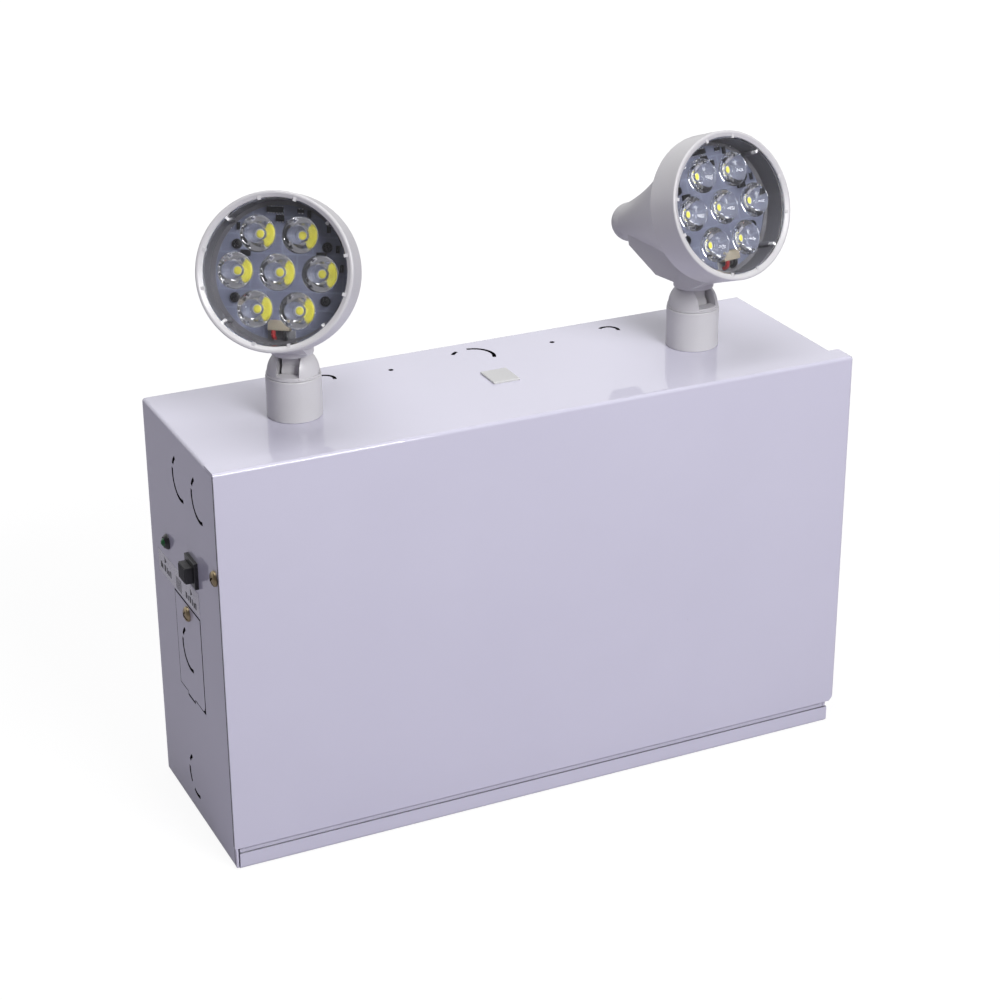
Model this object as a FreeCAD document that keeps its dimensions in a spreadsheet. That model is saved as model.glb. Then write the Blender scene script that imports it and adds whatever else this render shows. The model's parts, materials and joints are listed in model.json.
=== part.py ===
"""Twin-head emergency light: a folded steel cabinet with two aimable lamp heads on its top.

Millimetres. The origin is the middle of the cabinet's bottom face; the front faces -Y and +Z is up.
"""
import FreeCAD, Part
import math
import os
import re

import Sketcher

Vector = FreeCAD.Vector
Placement = FreeCAD.Placement
Rotation = FreeCAD.Rotation

# Driving dimensions
SIZES = [
    ("cabinet_width", 350, "nominal width, centred between the heads"),
    ("cabinet_depth", 112, "back wall to the cover's front panel, outside"),
    ("cabinet_height", 216, "bottom to the top wall, outside"),
    ("plate", 1.2, "steel sheet"),
    ("bend", 1.8, "outside radius of a fold"),
    ("lap_gap", 0.35, "between the cover's left flange and the wall"),
    ("top_gap", 0.15, "between the cover's top flange and the top wall"),
    ("side_gap", 3, "between the cover's right flange and the right wall"),
    ("side_lap", 0.5, "cover's left edge, outside the left wall"),
    ("wall_recess", 3.0, "left wall's front edge, behind the cover's front panel"),
    ("cover_flange", 13, "depth of the cover's flanges"),
    ("lip_height", 9, "upturned lip at the cabinet's bottom front"),
    ("lip_inset", 0.7, "left end of the lip to the left wall"),
    ("cover_foot", 12.2, "bottom edge of the cover's front panel"),
    ("cover_corner", 3, "chamfer at the cover's lower right corner"),
    ("knockout_radius", 11.1, "half-inch conduit knockout"),
    ("small_knockout", 5.3, "radius of the small knockouts in the top"),
    ("slit", 2.0, "width of a knockout's slit"),
    ("wall_hole", 3.25, "radius of the wall mounting holes"),
    ("wall_hole_across", 280, "spacing of the wall holes, side to side"),
    ("wall_hole_up", 150, "spacing of the wall holes, up and down"),
    ("wall_hole_low", 33, "height of the lower wall holes"),
    ("access_width", 40.2, "opening in the left wall"),
    ("access_height", 54, "opening in the left wall"),
    ("access_low", 70.8, "bottom edge of the opening"),
    ("access_gap", 0.8, "round the access plate"),
    ("tab_width", 10.5, "tongue and ledge that hold the access plate"),
    ("screw_head", 4, "radius of a panel screw's head"),
    ("screw_shank", 1.9, "radius of a panel screw's shank"),
    ("cover_screw_y", -48, "cover screw"),
    ("cover_screw_z", 160, "cover screw"),
    ("access_screw_z", 119, "access plate's screw"),
    ("control_height", 149.3, "height of the test switch"),
    ("switch_y", -14, "test switch"),
    ("switch_bezel", 15, "bezel of the test switch, front to back"),
    ("bezel_tall", 14, "bezel of the test switch, up and down"),
    ("bezel_thick", 2, "bezel of the test switch, off the wall"),
    ("switch_case", 12.8, "square body of the test switch"),
    ("button_depth", 10.4, "test button, front to back"),
    ("button_tall", 8.6, "test button, up and down"),
    ("button_proud", 6.4, "test button's face, off the wall"),
    ("button_travel", 2.5, "how far the button goes in"),
    ("indicator_y", 27, "indicator"),
    ("indicator_z", 147.7, "indicator"),
    ("plug_width", 14.8, "blanking plug, side to side"),
    ("plug_length", 17.2, "blanking plug, front to back"),
    ("plug_y", 2, "blanking plug"),
    ("head_spacing", 225.6, "between the two swivel axes"),
    ("head_y", 1.5, "swivel axes"),
    ("left_pan", -34, "aim of the left head, degrees from straight ahead"),
    ("right_pan", 10.5, "aim of the right head, degrees from straight ahead"),
    ("collar_radius", 13.9, "collar under each dome"),
    ("collar_height", 21.5, "collar under each dome"),
    ("stud_radius", 10.6, "threaded stud of the collar"),
    ("stud_length", 10.5, "stud below the cabinet's top face"),
    ("bore", 8, "radius of the collar's bore"),
    ("run_gap", 0.3, "between parts that turn on each other"),
    ("pivot_rise", 1, "tilt pin above the collar's top"),
    ("dome_radius", 13.1, "ball of the swivel"),
    ("dome_rim", 13.6, "thin rim at the dome's foot"),
    ("slot_width", 11.4, "slot in the dome"),
    ("slot_rear", 6.5, "back end of the slot, behind the pin"),
    ("sill", 1, "front edge of the slot, above the pin"),
    ("stem_length", 36, "dome's stem, below the pin"),
    ("stem_bore", 4, "radius of the lead hole in the stem"),
    ("pin_radius", 1.5, "tilt pin"),
    ("pin_length", 14.8, "tilt pin, hidden in the stem"),
    ("tongue_width", 8.8, "head's tongue in the slot"),
    ("tongue_radius", 6.2, "round end of the tongue"),
    ("neck_radius", 10.6, "ring over the dome"),
    ("neck_low", 10.4, "underside of the ring, above the pin"),
    ("lamp_tilt", 19.8, "upward tilt of the lamp's axis at rest, degrees"),
    ("rim_ahead", 29.2, "middle of the lamp's rim, ahead of the pin"),
    ("rim_above", 61.2, "middle of the lamp's rim, above the pin"),
    ("rim_radius", 38.3, "lamp's rim, outside"),
    ("opening_radius", 35.2, "lamp's rim, inside"),
    ("rim_bevel", 1.7, "bevel on the rim's inside"),
    ("drum_length", 19.3, "straight part behind the rim"),
    ("drum_step", 1.0, "drum's back edge, proud of the bell"),
    ("bell_radius", 195, "hollow curve of the bell's outline"),
    ("tail_radius", 10.7, "round end of the bell"),
    ("tail_back", 87.4, "middle of the round end, behind the rim"),
    ("tail_join", 11.6, "slope where the bell meets its round end, degrees"),
    ("moulding", 2.2, "wall of the lamp housing"),
    ("keel_width", 20.8, "flat-sided keel under the bell"),
    ("lens_thick", 2, "clear front lens"),
    ("lens_back", 1.2, "lens's front face, behind the rim"),
    ("board_back", 16, "LED board's front face, behind the rim"),
    ("board_radius", 32.6, "LED board"),
    ("board_ledge", 30.4, "inside of the ledge under the LED board"),
    ("board_thick", 1.6, "circuit boards"),
    ("optic_pitch", 20.6, "between neighbouring optics"),
    ("optic_radius", 8.9, "front of an optic"),
    ("optic_foot", 4.6, "radius of an optic's foot"),
    ("optic_height", 11, "optic, front to foot"),
    ("emitter_radius", 2.4, "emitter under an optic"),
    ("board_screw_ring", 25.5, "radius of the ring of board screws"),
    ("lead_radius", 1.1, "insulated lead in a head"),
    ("cable_radius", 1.4, "insulated lead in the cabinet"),
    ("battery_length", 151, "sealed battery, side to side"),
    ("battery_depth", 65, "sealed battery, front to back"),
    ("battery_height", 94, "sealed battery"),
    ("battery_x", 5, "left end of the battery"),
    ("battery_back", 53.5, "back of the battery"),
    ("strap_width", 20, "strap over the battery"),
    ("strap_thick", 1.5, "strap over the battery"),
    ("core_width", 66, "transformer's laminations, side to side"),
    ("core_height", 55, "transformer's laminations, up and down"),
    ("core_stack", 28, "transformer's laminations, front to back"),
    ("core_leg", 22, "middle leg of the laminations"),
    ("core_x", -118, "middle of the transformer"),
    ("core_y", 30.8, "middle of the transformer"),
    ("core_z", 45, "middle of the transformer"),
    ("charger_width", 120, "charger board, side to side"),
    ("charger_height", 75, "charger board, up and down"),
    ("charger_low", 115, "bottom edge of the charger board"),
    ("standoff", 8, "charger board's standoffs"),
]

doc = FreeCAD.newDocument("twin_head_emergency_light")
sheet = doc.addObject("Spreadsheet::Sheet", "Sizes")
for row, (alias, number, meaning) in enumerate(SIZES, start=1):
    sheet.set(f"A{row}", alias)
    sheet.set(f"B{row}", str(number))
    sheet.setAlias(f"B{row}", alias)
    sheet.set(f"C{row}", meaning)
doc.recompute()

ALIASES = {alias for alias, number, meaning in SIZES}
NODES = []


# Formulas, primitives and booleans

def formula(text):
    """Puts the sheet's name before each alias in a formula."""
    return re.sub(r"[a-z_]+", lambda word: "Sizes." + word[0] if word[0] in ALIASES else word[0], text)


def value(text):
    """The number that a formula gives now."""
    return float(sheet.evalExpression(formula(text)))


def add(kind, label):
    item = doc.addObject(kind, label)
    item.Label = label
    return item


def bind(item, formulas):
    for name, text in formulas.items():
        item.setExpression(name, formula(text))
    return item


def move(item, spot):
    return bind(item, dict(zip(("Placement.Base.x", "Placement.Base.y", "Placement.Base.z"), spot)))


def node(item, label):
    """Names a finished sub-part, which then gets its own file."""
    item.Label = label
    NODES.append(item)
    return item


def box(label, size, corner):
    item = bind(add("Part::Box", label), dict(zip(("Length", "Width", "Height"), size)))
    return move(item, corner)


TURNS = {"x": Rotation(Vector(0, 1, 0), 90), "y": Rotation(Vector(1, 0, 0), -90), "z": Rotation()}


def cylinder(label, radius, height, spot, axis="z"):
    item = bind(add("Part::Cylinder", label), {"Radius": radius, "Height": height})
    item.Placement = Placement(Vector(), TURNS[axis])
    return move(item, spot)


def sphere(label, radius, spot=("0", "0", "0")):
    return move(bind(add("Part::Sphere", label), {"Radius": radius}), spot)


def fuse(label, *items):
    item = add("Part::MultiFuse", label)
    item.Shapes = list(items)
    item.Refine = True
    return item


def common(label, *items):
    item = add("Part::MultiCommon", label)
    item.Shapes = list(items)
    return item


def group(label, items):
    item = add("Part::Compound", label)
    item.Links = list(items)
    return item


def cut(label, base, *tools):
    item = add("Part::Cut", label)
    item.Base = base
    item.Tool = tools[0] if len(tools) == 1 else fuse(label + "_tools", *tools)
    return item


def rounded(label, base, radius, chosen):
    """Rounds the edges of base for which chosen(edge) is true."""
    doc.recompute()
    size = value(radius)
    item = add("Part::Fillet", label)
    item.Base = base
    item.Edges = [(n, size, size) for n, edge in enumerate(base.Shape.Edges, start=1) if chosen(edge)]
    return item


def bevelled(label, base, width, chosen):
    """Chamfers the edges of base for which chosen(edge) is true."""
    doc.recompute()
    size = value(width)
    item = add("Part::Chamfer", label)
    item.Base = base
    item.Edges = [(n, size, size) for n, edge in enumerate(base.Shape.Edges, start=1) if chosen(edge)]
    return item


# Outlines, revolved and extruded

def arc_between(start, end, radius):
    """The short arc from start to end; a negative radius turns clockwise."""
    middle = (start + end) / 2
    chord = end - start
    left = Vector(-chord.y, chord.x, 0).normalize()
    reach = math.sqrt(radius ** 2 - (chord.Length / 2) ** 2)
    centre = middle + left * math.copysign(reach, radius)
    angles = [math.atan2(point.y - centre.y, point.x - centre.x) for point in (start, end)]
    first, last = angles if radius > 0 else reversed(angles)
    if last < first:
        last += 2 * math.pi
    return Part.ArcOfCircle(Part.Circle(centre, Vector(0, 0, 1), abs(radius)), first, last)


def outline(label, corners, arcs=None):
    """A closed sketch. Corners are pairs of formulas; arcs gives the radius of each side that is curved."""
    arcs = arcs or {}
    sketch = add("Sketcher::SketchObject", label)
    points = [Vector(value(a), value(b), 0) for a, b in corners]
    count = len(points)
    heads = []
    for n, start in enumerate(points):
        end = points[(n + 1) % count]
        radius = value(arcs[n]) if n in arcs else 0
        side = arc_between(start, end, radius) if radius else Part.LineSegment(start, end)
        sketch.addGeometry(side)
        heads.append((2, 1) if radius < 0 else (1, 2))
    for n in range(count):
        following = (n + 1) % count
        joint = Sketcher.Constraint("Coincident", n, heads[n][1], following, heads[following][0])
        sketch.addConstraint(joint)
    for n, (across, along) in enumerate(corners):
        for kind, text, number in (("DistanceX", across, points[n].x), ("DistanceY", along, points[n].y)):
            index = sketch.addConstraint(Sketcher.Constraint(kind, n, heads[n][0], number))
            sketch.setExpression(f"Constraints[{index}]", formula(text))
    for n, text in arcs.items():
        index = sketch.addConstraint(Sketcher.Constraint("Radius", n, abs(value(text))))
        sketch.setExpression(f"Constraints[{index}]", formula(f"abs({text})"))
    return sketch


def revolve(label, corners, arcs=None):
    """Turns an outline of (radius, height) corners about the Z axis."""
    sketch = outline(label + "_outline", corners, arcs)
    sketch.Placement = Placement(Vector(), Rotation(Vector(1, 0, 0), 90))
    return turned(label, sketch)


def turned(label, sketch):
    item = add("Part::Revolution", label)
    item.Source = sketch
    item.Axis = Vector(0, 0, 1)
    item.Base = Vector(0, 0, 0)
    item.Angle = 360
    item.Solid = True
    return item


def extrude(label, corners, width, arcs=None):
    """Extrudes an outline of (y, z) corners both ways along X."""
    sketch = outline(label + "_outline", corners, arcs)
    sketch.Placement = Placement(Vector(), Rotation(Vector(1, 1, 1), 120))
    item = add("Part::Extrusion", label)
    item.Base = sketch
    item.DirMode = "Custom"
    item.Dir = Vector(1, 0, 0)
    item.Symmetric = True
    item.Solid = True
    return bind(item, {"LengthFwd": width})


def lead(label, points, radius):
    """An insulated wire: a round section swept along straight runs joined by tangent arcs."""
    edges = []
    spot = points[0]
    for before, corner, after in zip(points, points[1:], points[2:]):
        back = (before - corner).normalize()
        on = (after - corner).normalize()
        trim = 0.45 * min((before - corner).Length, (after - corner).Length)
        start = corner + back * trim
        end = corner + on * trim
        half = back.getAngle(on) / 2
        bisector = (back + on).normalize()
        middle = corner + bisector * (trim / math.cos(half) - trim * math.tan(half))
        edges.append(Part.LineSegment(spot, start).toShape())
        edges.append(Part.Arc(start, middle, end).toShape())
        spot = end
    edges.append(Part.LineSegment(spot, points[-1]).toShape())
    path = Part.Wire(edges)
    section = Part.Wire(Part.makeCircle(value(radius), points[0], points[1] - points[0]))
    item = add("Part::Feature", label)
    item.Shape = path.makePipeShell([section], True, False)
    return item


# Cabinet

LEFT = "-cabinet_width/2"
FRONT = "-cabinet_depth/2"
BACK_INSIDE = "(cabinet_depth/2 - plate)"
LEFT_INSIDE = f"({LEFT} + plate)"
BOX_RIGHT = "(cabinet_width/2 - plate - lap_gap)"
COVER_RIGHT = f"({BOX_RIGHT} + side_gap + plate)"
TOP_INSIDE = "(cabinet_height - plate)"


def along(axis):
    """Chooses straight edges that run along one axis."""
    direction = {"x": Vector(1, 0, 0), "y": Vector(0, 1, 0), "z": Vector(0, 0, 1)}[axis]
    return lambda edge: abs(edge.tangentAt(edge.FirstParameter).dot(direction)) > 0.999


def slits(label, radius, arcs, depth, axis, spot):
    """The cut slits of a knockout: arcs as (start, sweep) degrees of a thin ring."""
    outer = cylinder(label + "_outer", f"{radius} + slit/2", depth, ("0", "0", "0"))
    inner = cylinder(label + "_inner", f"{radius} - slit/2", depth, ("0", "0", "0"))
    sectors = []
    for n, (start, sweep) in enumerate(arcs):
        sector = cylinder(f"{label}_sector_{n}", f"{radius} + 1", depth, ("0", "0", "0"))
        sector.Angle = sweep
        sector.Placement = Placement(Vector(), Rotation(Vector(0, 0, 1), start))
        sectors.append(sector)
    ring = cut(label + "_ring", outer, inner)
    item = common(label, ring, sectors[0] if len(sectors) == 1 else group(label + "_sectors", sectors))
    turn = {"x": Rotation(Vector(1, 1, 1), 120), "y": Rotation(Vector(1, 0, 0), 90), "z": Rotation()}[axis]
    item.Placement = Placement(Vector(), turn)
    return move(item, spot)


SIDE_SLITS = [(24, 33), (-111, 123)]
FOOT_SLITS = [(28, 30), (-40, 46), (-110, 48)]
TOP_SLITS = [(118, 26), (-31, 115)]
SMALL_SLITS = [(-25, 153)]
BACK_SLITS = [(20, 140), (200, 140)]
THROUGH = "plate + 2"
OUTSIDE_LEFT = f"{LEFT} - 1"
ABOVE = "cabinet_height - plate - 1"


def make_back_box():
    across = f"({BOX_RIGHT} - ({LEFT}))"
    outer = box("tub_outer", (across, "cabinet_depth", "cabinet_height"), (LEFT, FRONT, "0"))
    front = value(FRONT)
    folded = lambda edge: abs(edge.CenterOfMass.y - front) > 1
    shell = rounded("tub_folded", outer, "bend", folded)
    inner = box(
        "tub_inner",
        (f"{across} - 2*plate", "cabinet_depth", "cabinet_height - 2*plate"),
        (LEFT_INSIDE, f"{FRONT} - plate", "plate"),
    )
    hollow = rounded("tub_hollow", inner, "bend - plate", lambda edge: edge.CenterOfMass.y > front)
    tub = cut("tub", shell, hollow)
    upturned = [
        (FRONT, "lip_height"),
        (FRONT, "bend"),
        (f"{FRONT} + bend", "0"),
        (f"{FRONT} + bend + 1.5", "0"),
        (f"{FRONT} + bend + 1.5", "plate"),
        (f"{FRONT} + bend", "plate"),
        (f"{FRONT} + plate", "bend"),
        (f"{FRONT} + plate", "lip_height"),
    ]
    lip_left = f"({LEFT_INSIDE} + lip_inset)"
    fold = extrude("lip_fold", upturned, f"{BOX_RIGHT} - {lip_left}", {1: "bend", 5: "plate - bend"})
    move(fold, (f"({BOX_RIGHT} + {lip_left})/2", "0", "0"))
    lip = common("lip", fold, shell)
    ledge = box(
        "access_ledge",
        ("plate", "2*tab_width", "20"),
        (f"{LEFT_INSIDE} + plate", "-tab_width", "access_low + access_height - 12"),
    )
    ledge_root = box(
        "access_ledge_root",
        ("plate", "2*tab_width", "5"),
        (LEFT_INSIDE, "-tab_width", "access_low + access_height + 3"),
    )
    trim = box(
        "front_trim",
        ("cabinet_width", "bend + 1", "cabinet_height + 2"),
        (LEFT_INSIDE, f"{FRONT} - 1", "-1"),
    )
    side_trim = box(
        "side_trim",
        ("plate + 1", "wall_recess + 1", "cabinet_height + 2"),
        (OUTSIDE_LEFT, f"{FRONT} - 1", "-1"),
    )
    opening = box(
        "access_opening",
        (THROUGH, "access_width", "access_height"),
        (OUTSIDE_LEFT, "-access_width/2", "access_low"),
    )
    notch = box(
        "tab_notch",
        (THROUGH, "tab_width + 1", "3.8"),
        (OUTSIDE_LEFT, "-tab_width/2 + 1.8", "access_low - 2"),
    )
    side_holes = [
        cylinder(
            "cover_screw_hole", "screw_shank + 0.2", THROUGH,
            (OUTSIDE_LEFT, "cover_screw_y", "cover_screw_z"), "x",
        ),
        cylinder("ledge_hole", "screw_shank", "3*plate + 2", (LEFT_INSIDE, "0", "access_screw_z"), "x"),
        cylinder("indicator_hole", "3.1", THROUGH, (OUTSIDE_LEFT, "indicator_y", "indicator_z"), "x"),
        box(
            "switch_hole",
            (THROUGH, "switch_case", "switch_case"),
            (OUTSIDE_LEFT, "switch_y - switch_case/2", "control_height - switch_case/2"),
        ),
        slits("knockout_a", "knockout_radius", SIDE_SLITS, THROUGH, "x", (OUTSIDE_LEFT, "-1", "193.2")),
        slits("knockout_b", "knockout_radius", SIDE_SLITS, THROUGH, "x", (OUTSIDE_LEFT, "-30", "193.2")),
        slits("knockout_c", "knockout_radius", FOOT_SLITS, THROUGH, "x", (OUTSIDE_LEFT, "3", "22.6")),
    ]
    top_holes = [
        slits("knockout_top", "knockout_radius", TOP_SLITS, THROUGH, "z", ("0", "35", ABOVE)),
        slits("small_left", "small_knockout", SMALL_SLITS, THROUGH, "z", ("-82.5", "38.8", ABOVE)),
        slits("small_right", "small_knockout", SMALL_SLITS, THROUGH, "z", ("82.5", "38.8", ABOVE)),
        cylinder("pilot_left", "1.4", THROUGH, ("-46.7", "35.7", ABOVE)),
        cylinder("pilot_right", "1.4", THROUGH, ("46.7", "35.7", ABOVE)),
        cylinder("stud_hole_left", "stud_radius + 0.4", THROUGH, ("-head_spacing/2", "head_y", ABOVE)),
        cylinder("stud_hole_right", "stud_radius + 0.4", THROUGH, ("head_spacing/2", "head_y", ABOVE)),
        box(
            "plug_hole",
            ("plug_width - 3", "plug_length - 3", THROUGH),
            ("1.5 - plug_width/2", "plug_y + 1.5 - plug_length/2", ABOVE),
        ),
    ]
    back_holes = [
        cylinder(
            f"wall_hole_{n}", "wall_hole", THROUGH,
            (f"{side}*wall_hole_across/2", f"{BACK_INSIDE} - 1", f"wall_hole_low + {level}*wall_hole_up"),
            "y",
        )
        for n, (side, level) in enumerate([(-1, 0), (1, 0), (-1, 1), (1, 1)])
    ]
    behind = ("0", "cabinet_depth/2 + 1", "100")
    back_holes.append(slits("knockout_back", "knockout_radius", BACK_SLITS, THROUGH, "y", behind))
    walls = fuse("tub_walls", cut("tub_trimmed", tub, trim, side_trim), lip)
    pierced = cut("tub_open", walls, opening, notch)
    with_ledge = fuse("tub_ledge", pierced, ledge, ledge_root)
    holes = group("tub_holes", side_holes + top_holes + back_holes)
    return node(cut("tub_pierced", with_ledge, holes), "back_box")


def make_front_cover():
    left = f"({LEFT_INSIDE} + lap_gap)"
    lap = f"({LEFT} - side_lap)"
    top = "(cabinet_height + top_gap + plate)"
    block = box(
        "cover_block",
        (f"{COVER_RIGHT} - {lap}", "cover_flange", f"{top} - cover_foot"),
        (lap, FRONT, "cover_foot"),
    )
    right = value(COVER_RIGHT)
    front = value(FRONT)
    foot = value("cover_foot")
    high = value(top)

    def folds(edge):
        """The three edges round the upper right front corner."""
        spot = edge.CenterOfMass
        return sum((abs(spot.x - right) < 1, abs(spot.y - front) < 1, abs(spot.z - high) < 1)) == 2

    def lower_right(edge):
        return abs(edge.CenterOfMass.x - right) < 1 and abs(edge.CenterOfMass.z - foot) < 1

    cornered = bevelled("cover_cornered", block, "cover_corner", lower_right)
    folded = rounded("cover_folded", cornered, "bend", folds)
    inside = box(
        "cover_inside",
        (f"{COVER_RIGHT} - plate - {lap} + 1", "cover_flange", f"{top} - plate - cover_foot + 1"),
        (f"{lap} - 1", f"{FRONT} + plate", "cover_foot - 1"),
    )
    panel = cut("cover_panel", folded, inside)
    relief = box(
        "corner_relief",
        ("2.5", "cover_flange", "0.8"),
        (f"{COVER_RIGHT} - 2", f"{FRONT} + bend", f"{top} - plate - 1"),
    )
    side = box(
        "cover_left_flange",
        ("plate", "cover_flange + 3", "cabinet_height - 2*cover_foot"),
        (left, FRONT, "cover_foot + 4"),
    )
    step = "plate + lap_gap"
    joggled = [
        (FRONT, "cover_foot"),
        (f"{FRONT} + {step}", "cover_foot - 1.8"),
        (f"{FRONT} + {step}", "3"),
        (f"{FRONT} + {step} + plate", "3"),
        (f"{FRONT} + {step} + plate", "cover_foot - 1"),
        (f"{FRONT} + plate", "cover_foot + 1.2"),
        (f"{FRONT} + plate", "cover_foot + 3"),
        (FRONT, "cover_foot + 3"),
    ]
    tuck = extrude("cover_foot_fold", joggled, f"{BOX_RIGHT} - {LEFT_INSIDE} - 2*plate - cover_corner")
    move(tuck, (f"({BOX_RIGHT} + {LEFT_INSIDE} - cover_corner)/2", "0", "0"))
    fixing = (f"{left} - 1", "cover_screw_y", "cover_screw_z")
    hole = cylinder("cover_thread", "screw_shank", "4", fixing, "x")
    whole = fuse("cover_whole", panel, side, tuck)
    return node(cut("cover_cut", whole, relief, hole), "front_cover")


def make_access_plate():
    plate = box(
        "access_blank",
        ("plate", "access_width - 2*access_gap", "access_height - 2*access_gap"),
        (LEFT, "access_gap + 0.3 - access_width/2", "access_low + access_gap - 0.25"),
    )
    front_y = value("access_gap + 0.3 - access_width/2")
    low_z = value("access_low + access_gap - 0.25")

    def lower_front(edge):
        return abs(edge.CenterOfMass.y - front_y) < 1 and abs(edge.CenterOfMass.z - low_z) < 1

    shaped = rounded("access_shaped", plate, "4", lower_front)
    tab_y = "1.8 + 0.5 - tab_width/2"
    tab_root = box("tab_root", ("2*plate", "tab_width", "2.5"), (LEFT, tab_y, "access_low - 0.8"))
    tab = box("tab", ("plate", "tab_width", "9"), (LEFT_INSIDE, tab_y, "access_low - 7"))
    fixing = (OUTSIDE_LEFT, "0", "access_screw_z")
    hole = cylinder("access_screw_hole", "screw_shank + 0.2", THROUGH, fixing, "x")
    middle = (OUTSIDE_LEFT, "0.3", "98.3")
    opening = slits("knockout_plate", "knockout_radius", SIDE_SLITS, THROUGH, "x", middle)
    whole = fuse("access_whole", shaped, tab_root, tab)
    return node(cut("access_cut", whole, hole, opening), "access_plate")


def panel_screw(label, y, z, grip):
    """A pan-head screw with a cross recess, driven in +X through the left wall."""
    head = revolve(
        label + "_turned",
        [("0", "-2.2"), ("screw_head - 1.4", "-2.2"), ("screw_head", "-0.6"), ("screw_head", "0"),
         ("screw_shank", "0"), ("screw_shank", grip), ("0", grip)],
        {1: "2.2"},
    )
    arm = box(label + "_slot", ("4.4", "0.9", "1.2"), ("-2.2", "-0.45", "-2.4"))
    cross = box(label + "_cross", ("0.9", "4.4", "1.2"), ("-0.45", "-2.2", "-2.4"))
    item = cut(label, head, arm, cross)
    item.Placement = Placement(Vector(), TURNS["x"])
    return move(item, (LEFT, y, z))


def make_panel_screws():
    cover = panel_screw("cover_screw", "cover_screw_y", "cover_screw_z", "8")
    access = panel_screw("access_screw", "0", "access_screw_z", "8")
    return node(group("screws", [cover, access]), "panel_screws")


def make_blanking_plug():
    cap = box(
        "plug_cap",
        ("plug_width", "plug_length", "1.1"),
        ("-plug_width/2", "plug_y - plug_length/2", "cabinet_height"),
    )
    top = value("cabinet_height + 1.1")
    soft = rounded("plug_soft", cap, "0.5", lambda edge: edge.CenterOfMass.z > top - 0.9)
    legs = [
        box(
            f"plug_leg_{n}",
            ("plug_width - 3.6", "1.4", "plate + 5"),
            ("1.8 - plug_width/2", f"plug_y + {side}*(plug_length/2 - 2.5) - 0.7", f"{TOP_INSIDE} - 5"),
        )
        for n, side in enumerate((-1, 1))
    ]
    return node(fuse("plug", soft, *legs), "blanking_plug")


def make_indicator():
    spot = (LEFT, "indicator_y", "indicator_z")
    holder = revolve(
        "holder",
        [("2.55", "-2.2"), ("2.9", "-2.2"), ("4.1", "-0.5"), ("4.1", "0"), ("3.05", "0"), ("3.05", "7"),
         ("2.55", "7")],
    )
    led = revolve(
        "led",
        [("0", "-3.6"), ("2.5", "-1.1"), ("2.5", "7"), ("2.9", "7"), ("2.9", "8"), ("0", "8")],
        {0: "2.5"},
    )
    for item, label in ((holder, "indicator_bezel"), (led, "indicator_led")):
        item.Placement = Placement(Vector(), TURNS["x"])
        node(move(item, spot), label)


def make_switch():
    bezel = box(
        "switch_bezel_plate",
        ("bezel_thick", "switch_bezel", "bezel_tall"),
        (f"{LEFT} - bezel_thick", "switch_y - switch_bezel/2", "control_height - bezel_tall/2"),
    )
    face = value(f"{LEFT} - bezel_thick")
    soft = rounded("switch_bezel_soft", bezel, "0.4", lambda edge: abs(edge.CenterOfMass.x - face) < 0.1)
    case = box(
        "switch_case_block",
        ("18", "switch_case - 0.2", "switch_case - 0.2"),
        (LEFT, "switch_y - switch_case/2 + 0.1", "control_height - switch_case/2 + 0.1"),
    )
    well_low = "control_height - button_tall/2 - run_gap"
    well = box(
        "switch_well",
        ("bezel_thick + 5.3 + button_travel", "button_depth + 2*run_gap", "button_tall + 2*run_gap"),
        (f"{LEFT} - bezel_thick - 1", "switch_y - button_depth/2 - run_gap", well_low),
    )
    node(cut("switch", fuse("switch_whole", soft, case), well), "switch_body")
    blades = [
        box(
            f"blade_{n}",
            ("7", "0.8", "4.8"),
            (f"{LEFT} + 18", f"switch_y + {offset}", "control_height - 2.4"),
        )
        for n, offset in enumerate((-3.8, 3))
    ]
    node(group("blades", blades), "switch_terminals")
    cap = box(
        "button_block",
        ("button_proud + 4", "button_depth", "button_tall"),
        (f"{LEFT} - button_proud", "switch_y - button_depth/2", "control_height - button_tall/2"),
    )
    outside = value(f"{LEFT} - button_proud")
    soft_cap = rounded("button_soft", cap, "0.5", lambda edge: abs(edge.CenterOfMass.x - outside) < 0.1)
    grooves = [
        box(
            f"button_groove_{n}",
            ("1.1", "0.7", "button_tall"),
            (f"{LEFT} - button_proud - 0.5", f"switch_y + {offset} - 0.35", "control_height - button_tall/2"),
        )
        for n, offset in enumerate((-3.2, -1.6, 0, 1.6, 3.2))
    ]
    node(cut("button", soft_cap, group("button_grooves", grooves)), "test_button")


# Power inside the cabinet

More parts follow.
